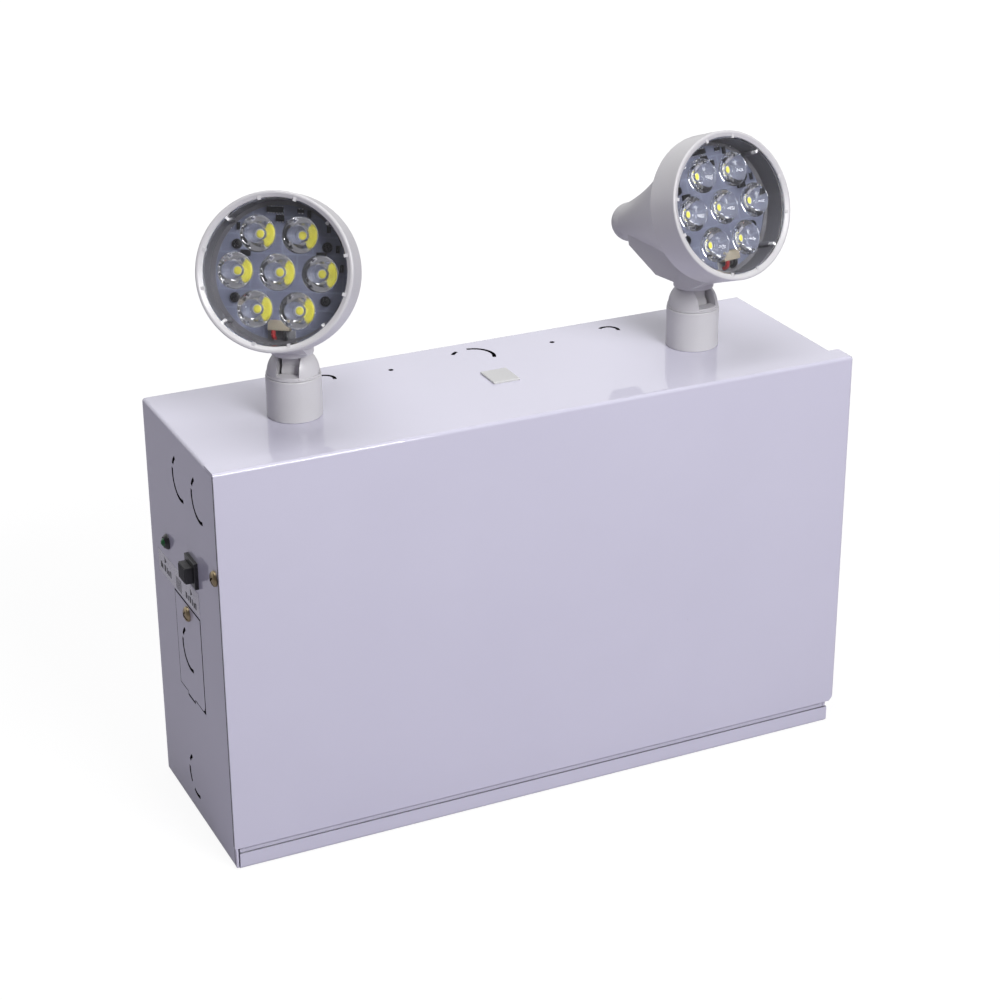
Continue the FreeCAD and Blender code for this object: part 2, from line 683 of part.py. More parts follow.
def make_battery():
    top = "(plate + battery_height)"
    front = "(battery_back - battery_depth)"
    case = box(
        "battery_block",
        ("battery_length", "battery_depth", "battery_height"),
        ("battery_x", front, "plate"),
    )
    seam = "battery_height - 14"
    body = rounded("battery_body", case, "2", along("z"))
    groove_outer = box(
        "seam_outer",
        ("battery_length + 2", "battery_depth + 2", "1"),
        ("battery_x - 1", f"{front} - 1", seam),
    )
    groove_inner = box(
        "seam_inner",
        ("battery_length - 1", "battery_depth - 1", "1"),
        ("battery_x + 0.5", f"{front} + 0.5", seam),
    )
    node(cut("battery_seamed", body, cut("seam", groove_outer, groove_inner)), "battery")
    blades = [
        box(f"terminal_{n}", ("6.3", "0.8", "8"), (f"{x} - 3.15", "38.6", top))
        for n, x in enumerate(("battery_x + 23", "battery_x + battery_length - 23"))
    ]
    node(group("terminals", blades), "battery_terminals")
    over = f"{top} + 0.3"
    ahead = f"{front} - 0.4"
    bent = [
        (BACK_INSIDE, f"{top} + 26"),
        (f"{BACK_INSIDE} - strap_thick", f"{top} + 26"),
        (f"{BACK_INSIDE} - strap_thick", f"{over} + strap_thick"),
        (f"{ahead} - strap_thick", f"{over} + strap_thick"),
        (f"{ahead} - strap_thick", "plate + strap_thick"),
        (f"{ahead} - 18", "plate + strap_thick"),
        (f"{ahead} - 18", "plate"),
        (ahead, "plate"),
        (ahead, over),
        (BACK_INSIDE, over),
    ]
    strap = extrude("strap", bent, "strap_width")
    middle = "battery_x + battery_length/2"
    move(strap, (middle, "0", "0"))
    high = f"{top} + 17"
    back_hole = cylinder("strap_back_hole", "1.9", "6", (middle, f"{BACK_INSIDE} - 4", high), "y")
    floor_hole = cylinder("strap_floor_hole", "1.9", "6", (middle, f"{ahead} - 10", "plate - 1"))
    node(cut("strap_drilled", strap, back_hole, floor_hole), "battery_strap")
    on_back = (middle, f"{BACK_INSIDE} - strap_thick", high)
    on_floor = (middle, f"{ahead} - 10", "plate + strap_thick")
    back_screw = small_screw("strap_back_screw", on_back, "-y", "strap_thick")
    floor_screw = small_screw("strap_floor_screw", on_floor, "z", "strap_thick")
    node(group("strap_fixings", [back_screw, floor_screw]), "strap_screws")


def small_screw(label, spot, out, grip):
    """A pan-head screw whose head stands out along the given direction."""
    item = revolve(
        label,
        [("0", f"-({grip})"), ("1.8", f"-({grip})"), ("1.8", "0"), ("3.4", "0"), ("3.4", "1"), ("2", "2.1"),
         ("0", "2.1")],
        {4: "2"},
    )
    turn = {"z": Rotation(), "-y": Rotation(Vector(1, 0, 0), 90)}[out]
    item.Placement = Placement(Vector(), turn)
    return move(item, spot)


def make_transformer():
    low_y = "core_y - core_stack/2"
    left = "core_x - core_width/2"
    window = "(core_width/2 - core_leg)"
    low_z = "core_z - core_height/2"
    stack = box("laminations", ("core_width", "core_stack", "core_height"), (left, low_y, low_z))
    windows = [
        box(
            f"window_{n}",
            (window, "core_stack + 2", "core_height - core_leg"),
            (x, f"{low_y} - 1", "core_z - core_height/2 + core_leg/2"),
        )
        for n, x in enumerate((f"core_x - core_leg/2 - {window}", "core_x + core_leg/2"))
    ]
    node(cut("core", stack, group("windows", windows)), "transformer_core")
    wound = box(
        "coil_block",
        (f"core_leg + 2*{window} - 0.6", "core_stack + 17", "core_height - core_leg - 0.6"),
        (f"core_x - core_leg/2 - {window} + 0.3", f"{low_y} - 8.5", f"{low_z} + core_leg/2 + 0.3"),
    )
    soft = rounded("coil_soft", wound, "5", along("z"))
    leg = box(
        "coil_hole",
        ("core_leg + 0.4", "core_stack + 0.4", "core_height"),
        ("core_x - core_leg/2 - 0.2", f"{low_y} - 0.2", "core_z - core_height/2"),
    )
    node(cut("coil", soft, leg), "transformer_coil")
    top = "core_z + core_height/2"
    thick = "strap_thick"
    depth = f"{BACK_INSIDE} - ({low_y})"
    wrap = box(
        "frame_outer",
        (f"core_width + 2*{thick}", depth, f"core_height + {thick}"),
        (f"{left} - {thick}", low_y, "core_z - core_height/2"),
    )
    inside = box(
        "frame_inner",
        ("core_width", f"{depth} + 2", "core_height + 2"),
        (left, f"{low_y} - 1", "core_z - core_height/2 - 2"),
    )
    ears = box(
        "frame_ears",
        (f"core_width + 2*{thick} + 24", thick, "core_height"),
        (f"{left} - {thick} - 12", f"{BACK_INSIDE} - {thick}", "core_z - core_height/2"),
    )
    ears_gap = box(
        "frame_ears_gap",
        ("core_width", "6", "core_height + 2"),
        (left, f"{BACK_INSIDE} - 4", "core_z - core_height/2 - 1"),
    )
    frame = fuse("frame", cut("frame_wrap", wrap, inside), cut("frame_feet", ears, ears_gap))
    spots = [(f"core_x + {side}*(core_width/2 + 8)", "core_z") for side in (-1, 1)]
    holes = [
        cylinder(f"frame_hole_{n}", "1.9", "6", (x, f"{BACK_INSIDE} - 4", z), "y")
        for n, (x, z) in enumerate(spots)
    ]
    node(cut("frame_drilled", frame, group("frame_holes", holes)), "transformer_frame")
    screws = [
        small_screw(f"transformer_screw_{n}", (x, f"{BACK_INSIDE} - {thick}", z), "-y", thick)
        for n, (x, z) in enumerate(spots)
    ]
    node(group("transformer_fixings", screws), "transformer_screws")


def make_charger():
    board_back = f"({BACK_INSIDE} - standoff)"
    face = f"({board_back} - board_thick)"
    spots = [(f"{side}*(charger_width/2 - 6)", f"charger_low + 6 + {level}*(charger_height - 12)")
             for side in (-1, 1) for level in (0, 1)]
    blank = box(
        "charger_blank",
        ("charger_width", "board_thick", "charger_height"),
        ("-charger_width/2", face, "charger_low"),
    )
    holes = [
        cylinder(f"charger_hole_{n}", "1.8", "4", (x, f"{face} - 1", z), "y")
        for n, (x, z) in enumerate(spots)
    ]
    node(cut("charger_drilled", blank, group("charger_holes", holes)), "charger_board")
    posts = []
    for n, (x, z) in enumerate(spots):
        post = cylinder(f"post_{n}", "3.2", "standoff", (x, board_back, z), "y")
        thread = cylinder(f"post_thread_{n}", "1.8", "standoff", (x, f"{board_back} - 2", z), "y")
        posts.append(cut(f"post_drilled_{n}", post, thread))
    node(group("posts", posts), "board_standoffs")
    screws = [
        small_screw(f"charger_screw_{n}", (x, face, z), "-y", "board_thick + 3")
        for n, (x, z) in enumerate(spots)
    ]
    node(group("charger_fixings", screws), "charger_screws")
    relay = box("relay_block", ("19", "15", "15"), ("28", f"{face} - 15", "165"))
    node(rounded("relay_soft", relay, "0.6", along("y")), "relay")
    round_edge = lambda edge: edge.Length > 40 and len(edge.Vertexes) == 1
    cans = []
    for n, x in enumerate(("20", "42")):
        can = cylinder(f"can_{n}", "8", "24", (x, f"{face} - 24", "143"), "y")
        cans.append(rounded(f"can_soft_{n}", can, "1", round_edge))
    node(group("cans", cans), "capacitors")
    block = box("block", ("40", "12", "12"), ("-20", f"{face} - 12", "charger_low + 1"))
    entries = [
        cylinder(f"entry_{n}", "cable_radius", "5", (str(x), f"{face} - 6", "charger_low"))
        for n, x in enumerate((-15, -5, 5, 15))
    ]
    exits = [
        cylinder(f"exit_{n}", "cable_radius", "5", (str(x), f"{face} - 6", "charger_low + 9"))
        for n, x in enumerate((-15, -5, 5, 15))
    ]
    node(cut("block_drilled", block, group("block_entries", entries + exits)), "terminal_block")


def make_leads():
    centre_y = value(f"{BACK_INSIDE} - standoff - board_thick - 6")
    low = value("charger_low + 5")
    high = value("charger_low + 9")
    blade_y = 39.0
    blade_top = value("plate + battery_height + 8")
    red_x = value("battery_x + 23")
    black_x = value("battery_x + battery_length - 23")
    red = [
        Vector(red_x, blade_y, blade_top), Vector(red_x, blade_y, blade_top + 8),
        Vector(15, centre_y, blade_top + 5), Vector(15, centre_y, low),
    ]
    black = [
        Vector(black_x, blade_y, blade_top), Vector(black_x, blade_y, blade_top + 9),
        Vector(red_x + 40, 26, blade_top + 6), Vector(5, 26, blade_top + 2),
        Vector(5, centre_y, blade_top + 3), Vector(5, centre_y, low),
    ]
    node(lead("battery_red", red, "cable_radius"), "battery_lead_red")
    node(lead("battery_black", black, "cable_radius"), "battery_lead_black")
    stem_end = value("cabinet_height + collar_height + pivot_rise - stem_length")
    for side, x, sign in (("left", -15, -1), ("right", -5, 1)):
        axis_x = sign * value("head_spacing/2")
        axis_y = value("head_y")
        route = [
            Vector(x, centre_y, high), Vector(x, centre_y, high + 14), Vector(x + sign * 8, 6, high + 40),
            Vector(axis_x - sign * 42, axis_y, stem_end - 26), Vector(axis_x, axis_y, stem_end - 14),
            Vector(axis_x, axis_y, stem_end + 8),
        ]
        node(lead(f"{side}_lamp_wire", route, "cable_radius"), f"{side}_lamp_lead")
    blade_end = value(f"{LEFT} + 25")
    level = value("control_height")
    pair = []
    for n, (offset, entry) in enumerate(((-3.4, -15), (3.4, -5))):
        y = value("switch_y") + offset
        route = [
            Vector(blade_end, y, level), Vector(blade_end + 14, y, level),
            Vector(-90, y + 8, low - 24 - 6 * n), Vector(entry - 12, centre_y - 8, low - 20 - 4 * n),
            Vector(entry, centre_y, low - 12), Vector(entry, centre_y, low),
        ]
        pair.append(lead(f"switch_wire_{n}", route, "cable_radius"))
    node(group("switch_wires", pair), "switch_leads")


# Swivels

PIVOT_Z = "(cabinet_height + collar_height + pivot_rise)"
SIDES = {"left": ("-head_spacing/2", "left_pan"), "right": ("head_spacing/2", "right_pan")}


def stand(item, spot, turn):
    """Places a piece by a formula for its spot and one for its turn."""
    item.setExpression("Placement", formula(f"create(<<placement>>; {spot}; {turn})"))
    return item


def at_pivot(item, side):
    """Puts a piece made about the tilt pin on its swivel, turned to the head's aim."""
    x, pan = SIDES[side]
    spot = f"create(<<vector>>; {x}; head_y; {PIVOT_Z})"
    return stand(item, spot, f"create(<<rotation>>; {pan}; 0; 0)")


def at_lamp(item, side):
    """Puts a piece made about the lamp's axis, its rim's plane at zero, in the head."""
    x, pan = SIDES[side]
    ahead = f"{x} + rim_ahead*sin({pan}); head_y - rim_ahead*cos({pan})"
    spot = f"create(<<vector>>; {ahead}; {PIVOT_Z} + rim_above)"
    return stand(item, spot, f"create(<<rotation>>; {pan}; 0; 90 - lamp_tilt)")


def in_head(item):
    """Tips a piece made about the lamp's axis up to its place over the tilt pin."""
    spot = "create(<<vector>>; 0; -rim_ahead; rim_above)"
    return stand(item, spot, "create(<<rotation>>; 0; 0; 90 - lamp_tilt)")


def make_collar(side):
    x, pan = SIDES[side]
    turned_collar = revolve(
        f"{side}_collar_turned",
        [("bore", "-stud_length"), ("stud_radius", "-stud_length"), ("stud_radius", "0"),
         ("collar_radius - 0.4", "0"), ("collar_radius", "0.4"), ("collar_radius", "collar_height - 0.8"),
         ("collar_radius - 0.8", "collar_height"), ("bore", "collar_height")],
        {5: "0.8"},
    )
    node(move(turned_collar, (x, "head_y", "cabinet_height")), f"{side}_collar")
    hexagon = add("Part::Prism", f"{side}_nut_block")
    bind(hexagon, {"Circumradius": "stud_radius + 6", "Height": "4"})
    hexagon.Polygon = 6
    hole = cylinder(f"{side}_nut_hole", "stud_radius", "4", ("0", "0", "0"))
    nut = cut(f"{side}_nut", hexagon, hole)
    node(move(nut, (x, "head_y", f"{TOP_INSIDE} - 4")), f"{side}_locknut")


def make_swivel(side):
    name = f"{side}_swivel"
    foot = "-(pivot_rise - 0.3)"
    stem = "(bore - run_gap)"
    clip_low = "(1.3 - stem_length)"
    turned_dome = revolve(
        name + "_turned",
        [("0", "-stem_length"), (stem, "-stem_length"), (stem, clip_low), ("bore - 1.4", clip_low),
         ("bore - 1.4", f"{clip_low} + 1.1"), (stem, f"{clip_low} + 1.1"), (stem, foot), ("dome_rim", foot),
         ("dome_rim", "0"), ("dome_radius", "0"), ("0", "dome_radius")],
        {9: "dome_radius"},
    )
    slot = box(
        name + "_slot",
        ("slot_width", "slot_rear + dome_rim + 1", "dome_radius"),
        ("-slot_width/2", "-dome_rim - 1", "sill"),
    )
    pocket = box(
        name + "_pocket",
        ("slot_width", "2*tongue_radius + 1.2", "tongue_radius + 0.6 + sill"),
        ("-slot_width/2", "-tongue_radius - 0.6", "-tongue_radius - 0.6"),
    )
    lead_hole = cylinder(name + "_lead_hole", "stem_bore", "stem_length", ("0", "0", "-stem_length"))
    pin_end = ("-pin_length/2", "0", "0")
    pin_hole = cylinder(name + "_pin_hole", "pin_radius", "pin_length/2 + 15", pin_end, "x")
    dome = cut(name + "_dome", turned_dome, slot, pocket, lead_hole, pin_hole)
    node(at_pivot(dome, side), f"{side}_dome")
    pin = cylinder(name + "_pin", "pin_radius", "pin_length", pin_end, "x")
    held = group(name + "_pin_held", [pin])
    node(at_pivot(held, side), f"{side}_pin")
    clip = revolve(
        name + "_clip",
        [("bore - 1.3", f"{clip_low} + 0.05"), ("bore + 2.4", f"{clip_low} + 0.05"),
         ("bore + 2.4", f"{clip_low} + 1.05"), ("bore - 1.3", f"{clip_low} + 1.05")],
    )
    node(at_pivot(clip, side), f"{side}_retainer")


# Lamp heads

HEXAGON = [(0.0, 0.0)] + [(math.cos(math.radians(a)), math.sin(math.radians(a))) for a in range(0, 360, 60)]
BELL_END = ("tail_radius*cos(tail_join)", "tail_radius*sin(tail_join) - tail_back")
SCREW_ANGLES = (30, 150, 210, 330)
RIB_ANGLES = (45, 135, 225, 315)
TAB_ANGLES = (15, 76, 104, 165, 195, 256, 284, 345)


def on_ring(radius, angle):
    return (f"{radius}*cos({angle})", f"{radius}*sin({angle})")


def make_housing(side):
    name = f"{side}_head"
    inner_tail = "(tail_radius - moulding)"
    inner_end = (f"{inner_tail}*cos(tail_join)", f"{inner_tail}*sin(tail_join) - tail_back")
    solid = revolve(
        name + "_outer",
        [("0", "0"), ("rim_radius - 0.8", "0"), ("rim_radius", "-0.8"), ("rim_radius", "-drum_length"),
         ("rim_radius - drum_step", "-drum_length"), BELL_END, ("0", "-tail_back - tail_radius")],
        {1: "-0.8", 4: "bell_radius", 5: "-tail_radius"},
    )
    hollow = revolve(
        name + "_inner",
        [("0", "1"), ("opening_radius + 2*rim_bevel", "1"), ("opening_radius", "-1"),
         ("opening_radius", "-drum_length - 0.9"), inner_end, ("0", "-tail_back - tail_radius + moulding")],
        {3: "bell_radius + moulding", 4: "moulding - tail_radius"},
    )
    keel = extrude(
        name + "_keel",
        [("44", "34"), ("41.8", "23.4"), ("18.9", "12.9"), ("neck_radius", "12.9"),
         ("-neck_radius", "12.9"), ("-21", "19.5"), ("-15", "56")],
        "keel_width",
    )
    neck = cylinder(name + "_neck", "neck_radius", "9", ("0", "0", "neck_low"))
    ball = sphere(name + "_ball", "dome_radius + 0.4")
    stem = box(name + "_stem", ("tongue_width", "10.2", "neck_low + 5"), ("-tongue_width/2", "-4.2", "0"))
    knuckle = cylinder(name + "_knuckle", "tongue_radius", "tongue_width", ("-tongue_width/2", "0", "0"), "x")
    pin_end = ("-tongue_width/2 - 1", "0", "0")
    pin_hole = cylinder(name + "_pin_hole", "pin_radius + 0.05", "tongue_width + 2", pin_end, "x")
    lead_hole = cylinder(name + "_lead_hole", "1.9", "50", ("0", "3.7", "-10"))
    outside = fuse(name + "_outside", in_head(solid), keel, neck)
    seated = cut(name + "_seated", outside, ball)
    tongued = fuse(name + "_tongued", seated, stem, knuckle)
    hollowed = cut(name + "_hollowed", tongued, in_head(hollow), pin_hole, lead_hole)
    posts = []
    for n, angle in enumerate(SCREW_ANGLES):
        x, y = on_ring("board_screw_ring", angle)
        post = cylinder(f"{name}_post_{n}", "3.6", "50", (x, y, "-board_back - board_thick - 50"))
        thread = cylinder(f"{name}_thread_{n}", "1.4", "12", (x, y, "-board_back - board_thick - 10"))
        posts.append(cut(f"{name}_post_drilled_{n}", post, thread))
    inside_posts = common(name + "_posts", group(name + "_post_set", posts), bell_core(name))
    under_board = "-board_back - board_thick"
    ring = revolve(
        name + "_ring",
        [("board_ledge", f"{under_board} - 1.6"), ("opening_radius + 0.8", f"{under_board} - 1.6"),
         ("opening_radius + 0.8", under_board), ("board_ledge", under_board)],
    )
    lead_gap = box(name + "_lead_gap", ("13", "6", "4"), ("-5", "-board_radius - 1.4", f"{under_board} - 3"))
    fins = [cut(name + "_ledge", ring, lead_gap)]
    behind_lens = "-lens_back - lens_thick - 0.3"
    for n, angle in enumerate(RIB_ANGLES):
        fins.append(radial(f"{name}_rib_{n}", angle, "1.2", "2", "0.6 - board_back", behind_lens))
    for n, angle in enumerate(TAB_ANGLES):
        fins.append(radial(f"{name}_tab_{n}", angle, "1.6", "0.8", "-lens_back + 0.2", "-0.3"))
    inner_work = in_head(group(name + "_inner_work", [inside_posts] + fins))
    whole = fuse(name + "_housing", hollowed, inner_work)
    node(at_pivot(whole, side), f"{side}_housing")


def bell_core(name):
    """A core that ends inside the bell's wall, to trim what stands in the bell."""
    return revolve(
        name + "_core",
        [("0", "0"), ("rim_radius - 1.5", "0"), ("rim_radius - 1.5", "-drum_length"),
         (f"{BELL_END[0]} - 1", BELL_END[1]), ("0", "-tail_back")],
        {2: "bell_radius"},
    )


def radial(label, angle, width, height, low, high):
    """A small rib that stands inward from the rim's inner wall, at an angle round the lamp's axis."""
    sizes = {"Length": f"{height} + 1.4", "Width": width, "Height": f"({high}) - ({low})"}
    item = bind(add("Part::Box", label), sizes)
    turn = f"create(<<rotation>>; {angle}; 0; 0)"
    reach = f"(opening_radius - {height})"
    spot = (f"create(<<vector>>; {reach}*cos({angle}) + {width}/2*sin({angle}); "
            f"{reach}*sin({angle}) - {width}/2*cos({angle}); {low})")
    return stand(item, spot, turn)


def make_lamp(side):
    name = f"{side}_lamp"
    lens_face = "-lens_back - lens_thick"
    lens = revolve(
        name + "_lens",
        [("0", lens_face), ("opening_radius - 0.3", lens_face), ("opening_radius - 0.3", "-lens_back - 0.4"),
         ("opening_radius - 0.7", "-lens_back"), ("0", "-lens_back")],
    )
    node(at_lamp(lens, side), f"{side}_lens")
    disc = cylinder(name + "_board", "board_radius", "board_thick", ("0", "0", "-board_back - board_thick"))
    notch = box(name + "_notch", ("13", "6", "4"), ("-5", "-board_radius - 1", "-board_back - 3"))
    holes = []
    for n, angle in enumerate(SCREW_ANGLES):
        x, y = on_ring("board_screw_ring", angle)
        holes.append(cylinder(f"{name}_board_hole_{n}", "1.5", "4", (x, y, "-board_back - 3")))
    node(at_lamp(cut(name + "_board_cut", disc, notch, *holes), side), f"{side}_led_board")
    front = "(optic_height - board_back)"
    sketch_corners = [
        ("0", "3.2 - board_back"), ("emitter_radius + 0.8", "3.2 - board_back"),
        ("emitter_radius + 0.8", "-board_back"), ("optic_foot", "-board_back"),
        ("optic_radius - 0.2", f"{front} - 1.2"), ("optic_radius", f"{front} - 1.2"),
        ("optic_radius", front), ("3.4", front), ("3", f"{front} - 2.4"), ("0", f"{front} - 2.4"),
    ]
    sketch = outline(name + "_optic_outline", sketch_corners, {3: "-22"})
    sketch.Placement = Placement(Vector(), Rotation(Vector(1, 0, 0), 90))
    optics = []
    emitters = []
    for n, (across, up) in enumerate(HEXAGON):
        spot = (f"{across:.6f}*optic_pitch", f"{up:.6f}*optic_pitch")
        optics.append(move(turned(f"{name}_optic_{n}", sketch), (*spot, "0")))
        emitters.append(cylinder(f"{name}_emitter_{n}", "emitter_radius", "1.4", (*spot, "-board_back")))
    node(at_lamp(group(name + "_optics", optics), side), f"{side}_optics")
    node(at_lamp(group(name + "_emitters", emitters), side), f"{side}_emitters")
    screws = []
    for n, angle in enumerate(SCREW_ANGLES):
        x, y = on_ring("board_screw_ring", angle)
        screw = revolve(
            f"{name}_screw_{n}",
            [("0", "-10"), ("1.4", "-10"), ("1.4", "0"), ("2.5", "0"), ("2.5", "1.1"), ("1.9", "1.7"),
             ("1.2", "1.7"), ("1.2", "0.6"), ("0", "0.6")],
        )
        screws.append(move(screw, (x, y, "-board_back")))
    node(at_lamp(group(name + "_screws", screws), side), f"{side}_board_screws")
    chips = [
        box(f"{name}_chip_{n}", (long, wide, tall), (x, y, "-board_back"))
        for n, (x, y, long, wide, tall) in enumerate((
            ("-8", "28.4", "8", "2.6", "1.6"), ("-3.4", "24.2", "4", "3", "1.4"),
            ("1.6", "21.4", "3", "3", "1.2"), ("6.8", "28.6", "3.2", "1.6", "1"),
        ))
    ]
    node(at_lamp(group(name + "_chips", chips), side), f"{side}_board_chips")
    face = -value("board_back")
    edge = value("board_radius")
    for colour, x in (("red", -1.8), ("black", 3.6)):
        route = [
            Vector(x, 9 - edge, face), Vector(x, 9 - edge, face + 4.2), Vector(x, 1.6 - edge, face + 4.2),
            Vector(x, 1.2 - edge, face - 5),
        ]
        node(at_lamp(lead(f"{name}_{colour}", route, "lead_radius"), side), f"{side}_lead_{colour}")


make_back_box()
make_front_cover()
make_access_plate()
make_panel_screws()
make_blanking_plug()
make_indicator()
make_switch()
make_battery()
make_transformer()
make_charger()
make_leads()
for hand in SIDES:
    make_collar(hand)
    make_swivel(hand)
    make_housing(hand)
    make_lamp(hand)

doc.recompute()

# Every object has to be sound before anything is written
failed = [item.Label for item in doc.Objects if {"Invalid", "Error"} & set(item.State)]
failed += [item.Label for item in NODES if item.Shape.isNull() or not item.Shape.isValid()]
if failed:
    raise RuntimeError("failed: " + ", ".join(failed))

os.makedirs("parts", exist_ok=True)
for item in NODES:
    item.Shape.exportStep(f"parts/{item.Label}.step")
    print(f"{item.Label:22s} {len(item.Shape.Solids):2d} solids {item.Shape.Volume / 1000:9.2f} cm3")
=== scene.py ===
"""Twin-head emergency light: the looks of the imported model, in the order in which it is put together."""
import json
from math import atan2, cos, pi, radians, sin, sqrt

import bpy
from mathutils import Matrix, Vector


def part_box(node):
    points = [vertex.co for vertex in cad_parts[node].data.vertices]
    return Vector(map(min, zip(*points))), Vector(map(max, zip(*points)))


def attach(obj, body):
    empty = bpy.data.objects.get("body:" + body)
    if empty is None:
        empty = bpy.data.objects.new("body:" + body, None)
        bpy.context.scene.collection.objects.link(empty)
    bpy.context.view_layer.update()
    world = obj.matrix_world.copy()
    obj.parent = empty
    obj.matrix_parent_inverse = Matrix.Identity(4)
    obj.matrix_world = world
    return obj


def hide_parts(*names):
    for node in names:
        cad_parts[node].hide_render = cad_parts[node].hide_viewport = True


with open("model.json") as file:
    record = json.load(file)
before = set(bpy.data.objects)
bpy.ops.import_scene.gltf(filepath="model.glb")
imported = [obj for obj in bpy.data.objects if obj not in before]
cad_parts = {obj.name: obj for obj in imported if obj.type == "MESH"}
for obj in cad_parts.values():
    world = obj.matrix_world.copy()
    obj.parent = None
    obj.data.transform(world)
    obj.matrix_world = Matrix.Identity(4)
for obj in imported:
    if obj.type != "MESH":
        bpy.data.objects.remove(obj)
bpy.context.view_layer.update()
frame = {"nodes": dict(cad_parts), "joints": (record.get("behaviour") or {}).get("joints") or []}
nodes = frame["nodes"]
scene = bpy.context.scene
scene.view_settings.view_transform = "Standard"

# Camera
# A long lens, high and to the left of the front, at the photograph's place and slight roll.
bpy.ops.object.camera_add(
    location=(-0.48246, -1.02006, 0.65708),
    rotation=(radians(65.683), radians(0.2716), radians(-25.373)),
)
camera = bpy.context.object
camera.data.lens = 84.71
camera.data.sensor_width = 36
camera.data.clip_end = 50
scene.camera = camera


# Studio
# A pale matt floor, white to the camera but still taking the unit's shadow. A softbox ahead, a little to the
# right, models the shapes, and a wider one overhead fills in. The surround is white to the camera; mirrored
# in the unit, it is white behind it and dark ahead of it.

def feed(tree, node, inputs):
    """Sets a node's inputs, each to a value or to another node's output."""
    for name, source in inputs.items():
        if isinstance(source, bpy.types.NodeSocket):
            tree.links.new(source, node.inputs[name])
        else:
            node.inputs[name].default_value = source


def add_node(tree, kind, inputs=None, **settings):
    """Adds a shader node with its settings and inputs."""
    node = tree.nodes.new("ShaderNode" + kind)
    for name, setting in settings.items():
        setattr(node, name, setting)
    feed(tree, node, inputs or {})
    return node


def seen_directly(tree, share):
    """1 for rays from the camera, a share for those mirrored or let through, 0 once a matt surface is hit."""
    path = add_node(tree, "LightPath").outputs
    either = {0: path["Is Glossy Ray"], 1: path["Is Transmission Ray"]}
    bent = add_node(tree, "Math", either, operation="MAXIMUM")
    dimmed = add_node(tree, "Math", {0: bent.outputs[0], 1: share}, operation="MULTIPLY")
    shown = add_node(tree, "Math", {0: path["Is Camera Ray"], 1: dimmed.outputs[0]}, operation="MAXIMUM")
    unscattered = add_node(tree, "Math", {0: path["Diffuse Depth"], 1: 0.5}, operation="LESS_THAN")
    kept = {0: shown.outputs[0], 1: unscattered.outputs[0]}
    return add_node(tree, "Math", kept, operation="MULTIPLY").outputs[0]


bpy.ops.object.select_all(action="DESELECT")
bpy.ops.mesh.primitive_plane_add(size=12, location=(0, 0, -0.0005))
floor = bpy.context.object
floor.name = "studio_floor"
floor_paint = bpy.data.materials.new("floor_paint")
floor_paint.use_nodes = True
tree = floor_paint.node_tree
matt = tree.nodes["Principled BSDF"]
shown = seen_directly(tree, 0.2)
pale = add_node(tree, "MixRGB", {
    "Fac": shown, "Color1": (0.40, 0.38, 0.475, 1), "Color2": (0.5, 0.5, 0.5, 1),
})
feed(tree, matt, {"Base Color": pale.outputs[0], "Roughness": 0.9})
away = add_node(tree, "VectorMath", {0: add_node(tree, "TexCoord").outputs["Object"]}, operation="LENGTH")
whiter = add_node(tree, "MapRange", {
    "Value": away.outputs["Value"], "From Min": 0.4, "From Max": 1.0, "To Min": 1.22, "To Max": 1.36,
})
glow = add_node(tree, "Emission", {"Color": (1, 1, 1, 1), "Strength": whiter.outputs[0]})
share = add_node(tree, "Math", {0: shown, 1: 0.75}, operation="MULTIPLY")
mix = add_node(tree, "MixShader", {0: share.outputs[0], 1: matt.outputs[0], 2: glow.outputs[0]})
feed(tree, tree.nodes["Material Output"], {"Surface": mix.outputs[0]})
floor.data.materials.append(floor_paint)


def softbox(name, place, aim, size, power):
    """A square soft light of that size in metres, at place, turned to aim."""
    bpy.ops.object.light_add(type="AREA", location=place)
    lamp = bpy.context.object
    lamp.name = name
    lamp.data.size = size
    lamp.data.energy = power
    lamp.rotation_euler = (Vector(aim) - Vector(place)).to_track_quat("-Z", "Y").to_euler()


unit_middle = (0, 0, 0.2)
softbox("front_softbox", place=(0.22, -1.30, 1.15), aim=unit_middle, size=0.6, power=19)
softbox("overhead_softbox", place=(-0.15, 0.15, 1.8), aim=unit_middle, size=1.2, power=12.2)

world = bpy.data.worlds.new("surround")
scene.world = world
world.use_nodes = True
tree = world.node_tree
dim = tree.nodes["Background"]
feed(tree, dim, {"Color": (0.92, 0.89, 1, 1), "Strength": 0.15})
white = add_node(tree, "Background", {"Color": (1, 1, 1, 1), "Strength": 1.0})
ahead = add_node(tree, "SeparateXYZ", {0: add_node(tree, "TexCoord").outputs["Generated"]})
backdrop = add_node(tree, "MapRange", {
    "Value": ahead.outputs["Y"], "From Min": 0.1, "From Max": 0.65, "To Min": 0.1, "To Max": 1.0,
}, interpolation_type="SMOOTHSTEP")
shown = seen_directly(tree, backdrop.outputs[0])
mix = add_node(tree, "MixShader", {0: shown, 1: dim.outputs[0], 2: white.outputs[0]})
feed(tree, tree.nodes["World Output"], {"Surface": mix.outputs[0]})


# Cabinet
# The back box, its lapping cover and the access plate: cold-rolled sheet, pierced, folded and coated with a
# glossy lavender-white enamel. The coat has a slight orange peel and a few specks of dust. Its sharp edges are
# lightened, partly rubbed paint and partly a painted highlight. The slits' cut edges are near-black, partly
# bare steel and partly painted shade, and a painted shadow line runs along the lip's top edge.

def new_group(name, inputs, outputs):
    """An empty node group, from (name, kind, start) rows of inputs and (name, kind) rows of outputs."""
    group = bpy.data.node_groups.new(name, "ShaderNodeTree")
    for label, kind, start in inputs:
        socket = group.interface.new_socket(label, in_out="INPUT", socket_type="NodeSocket" + kind)
        socket.default_value = start
    for label, kind in outputs:
        group.interface.new_socket(label, in_out="OUTPUT", socket_type="NodeSocket" + kind)
    return group, group.nodes.new("NodeGroupInput"), group.nodes.new("NodeGroupOutput")


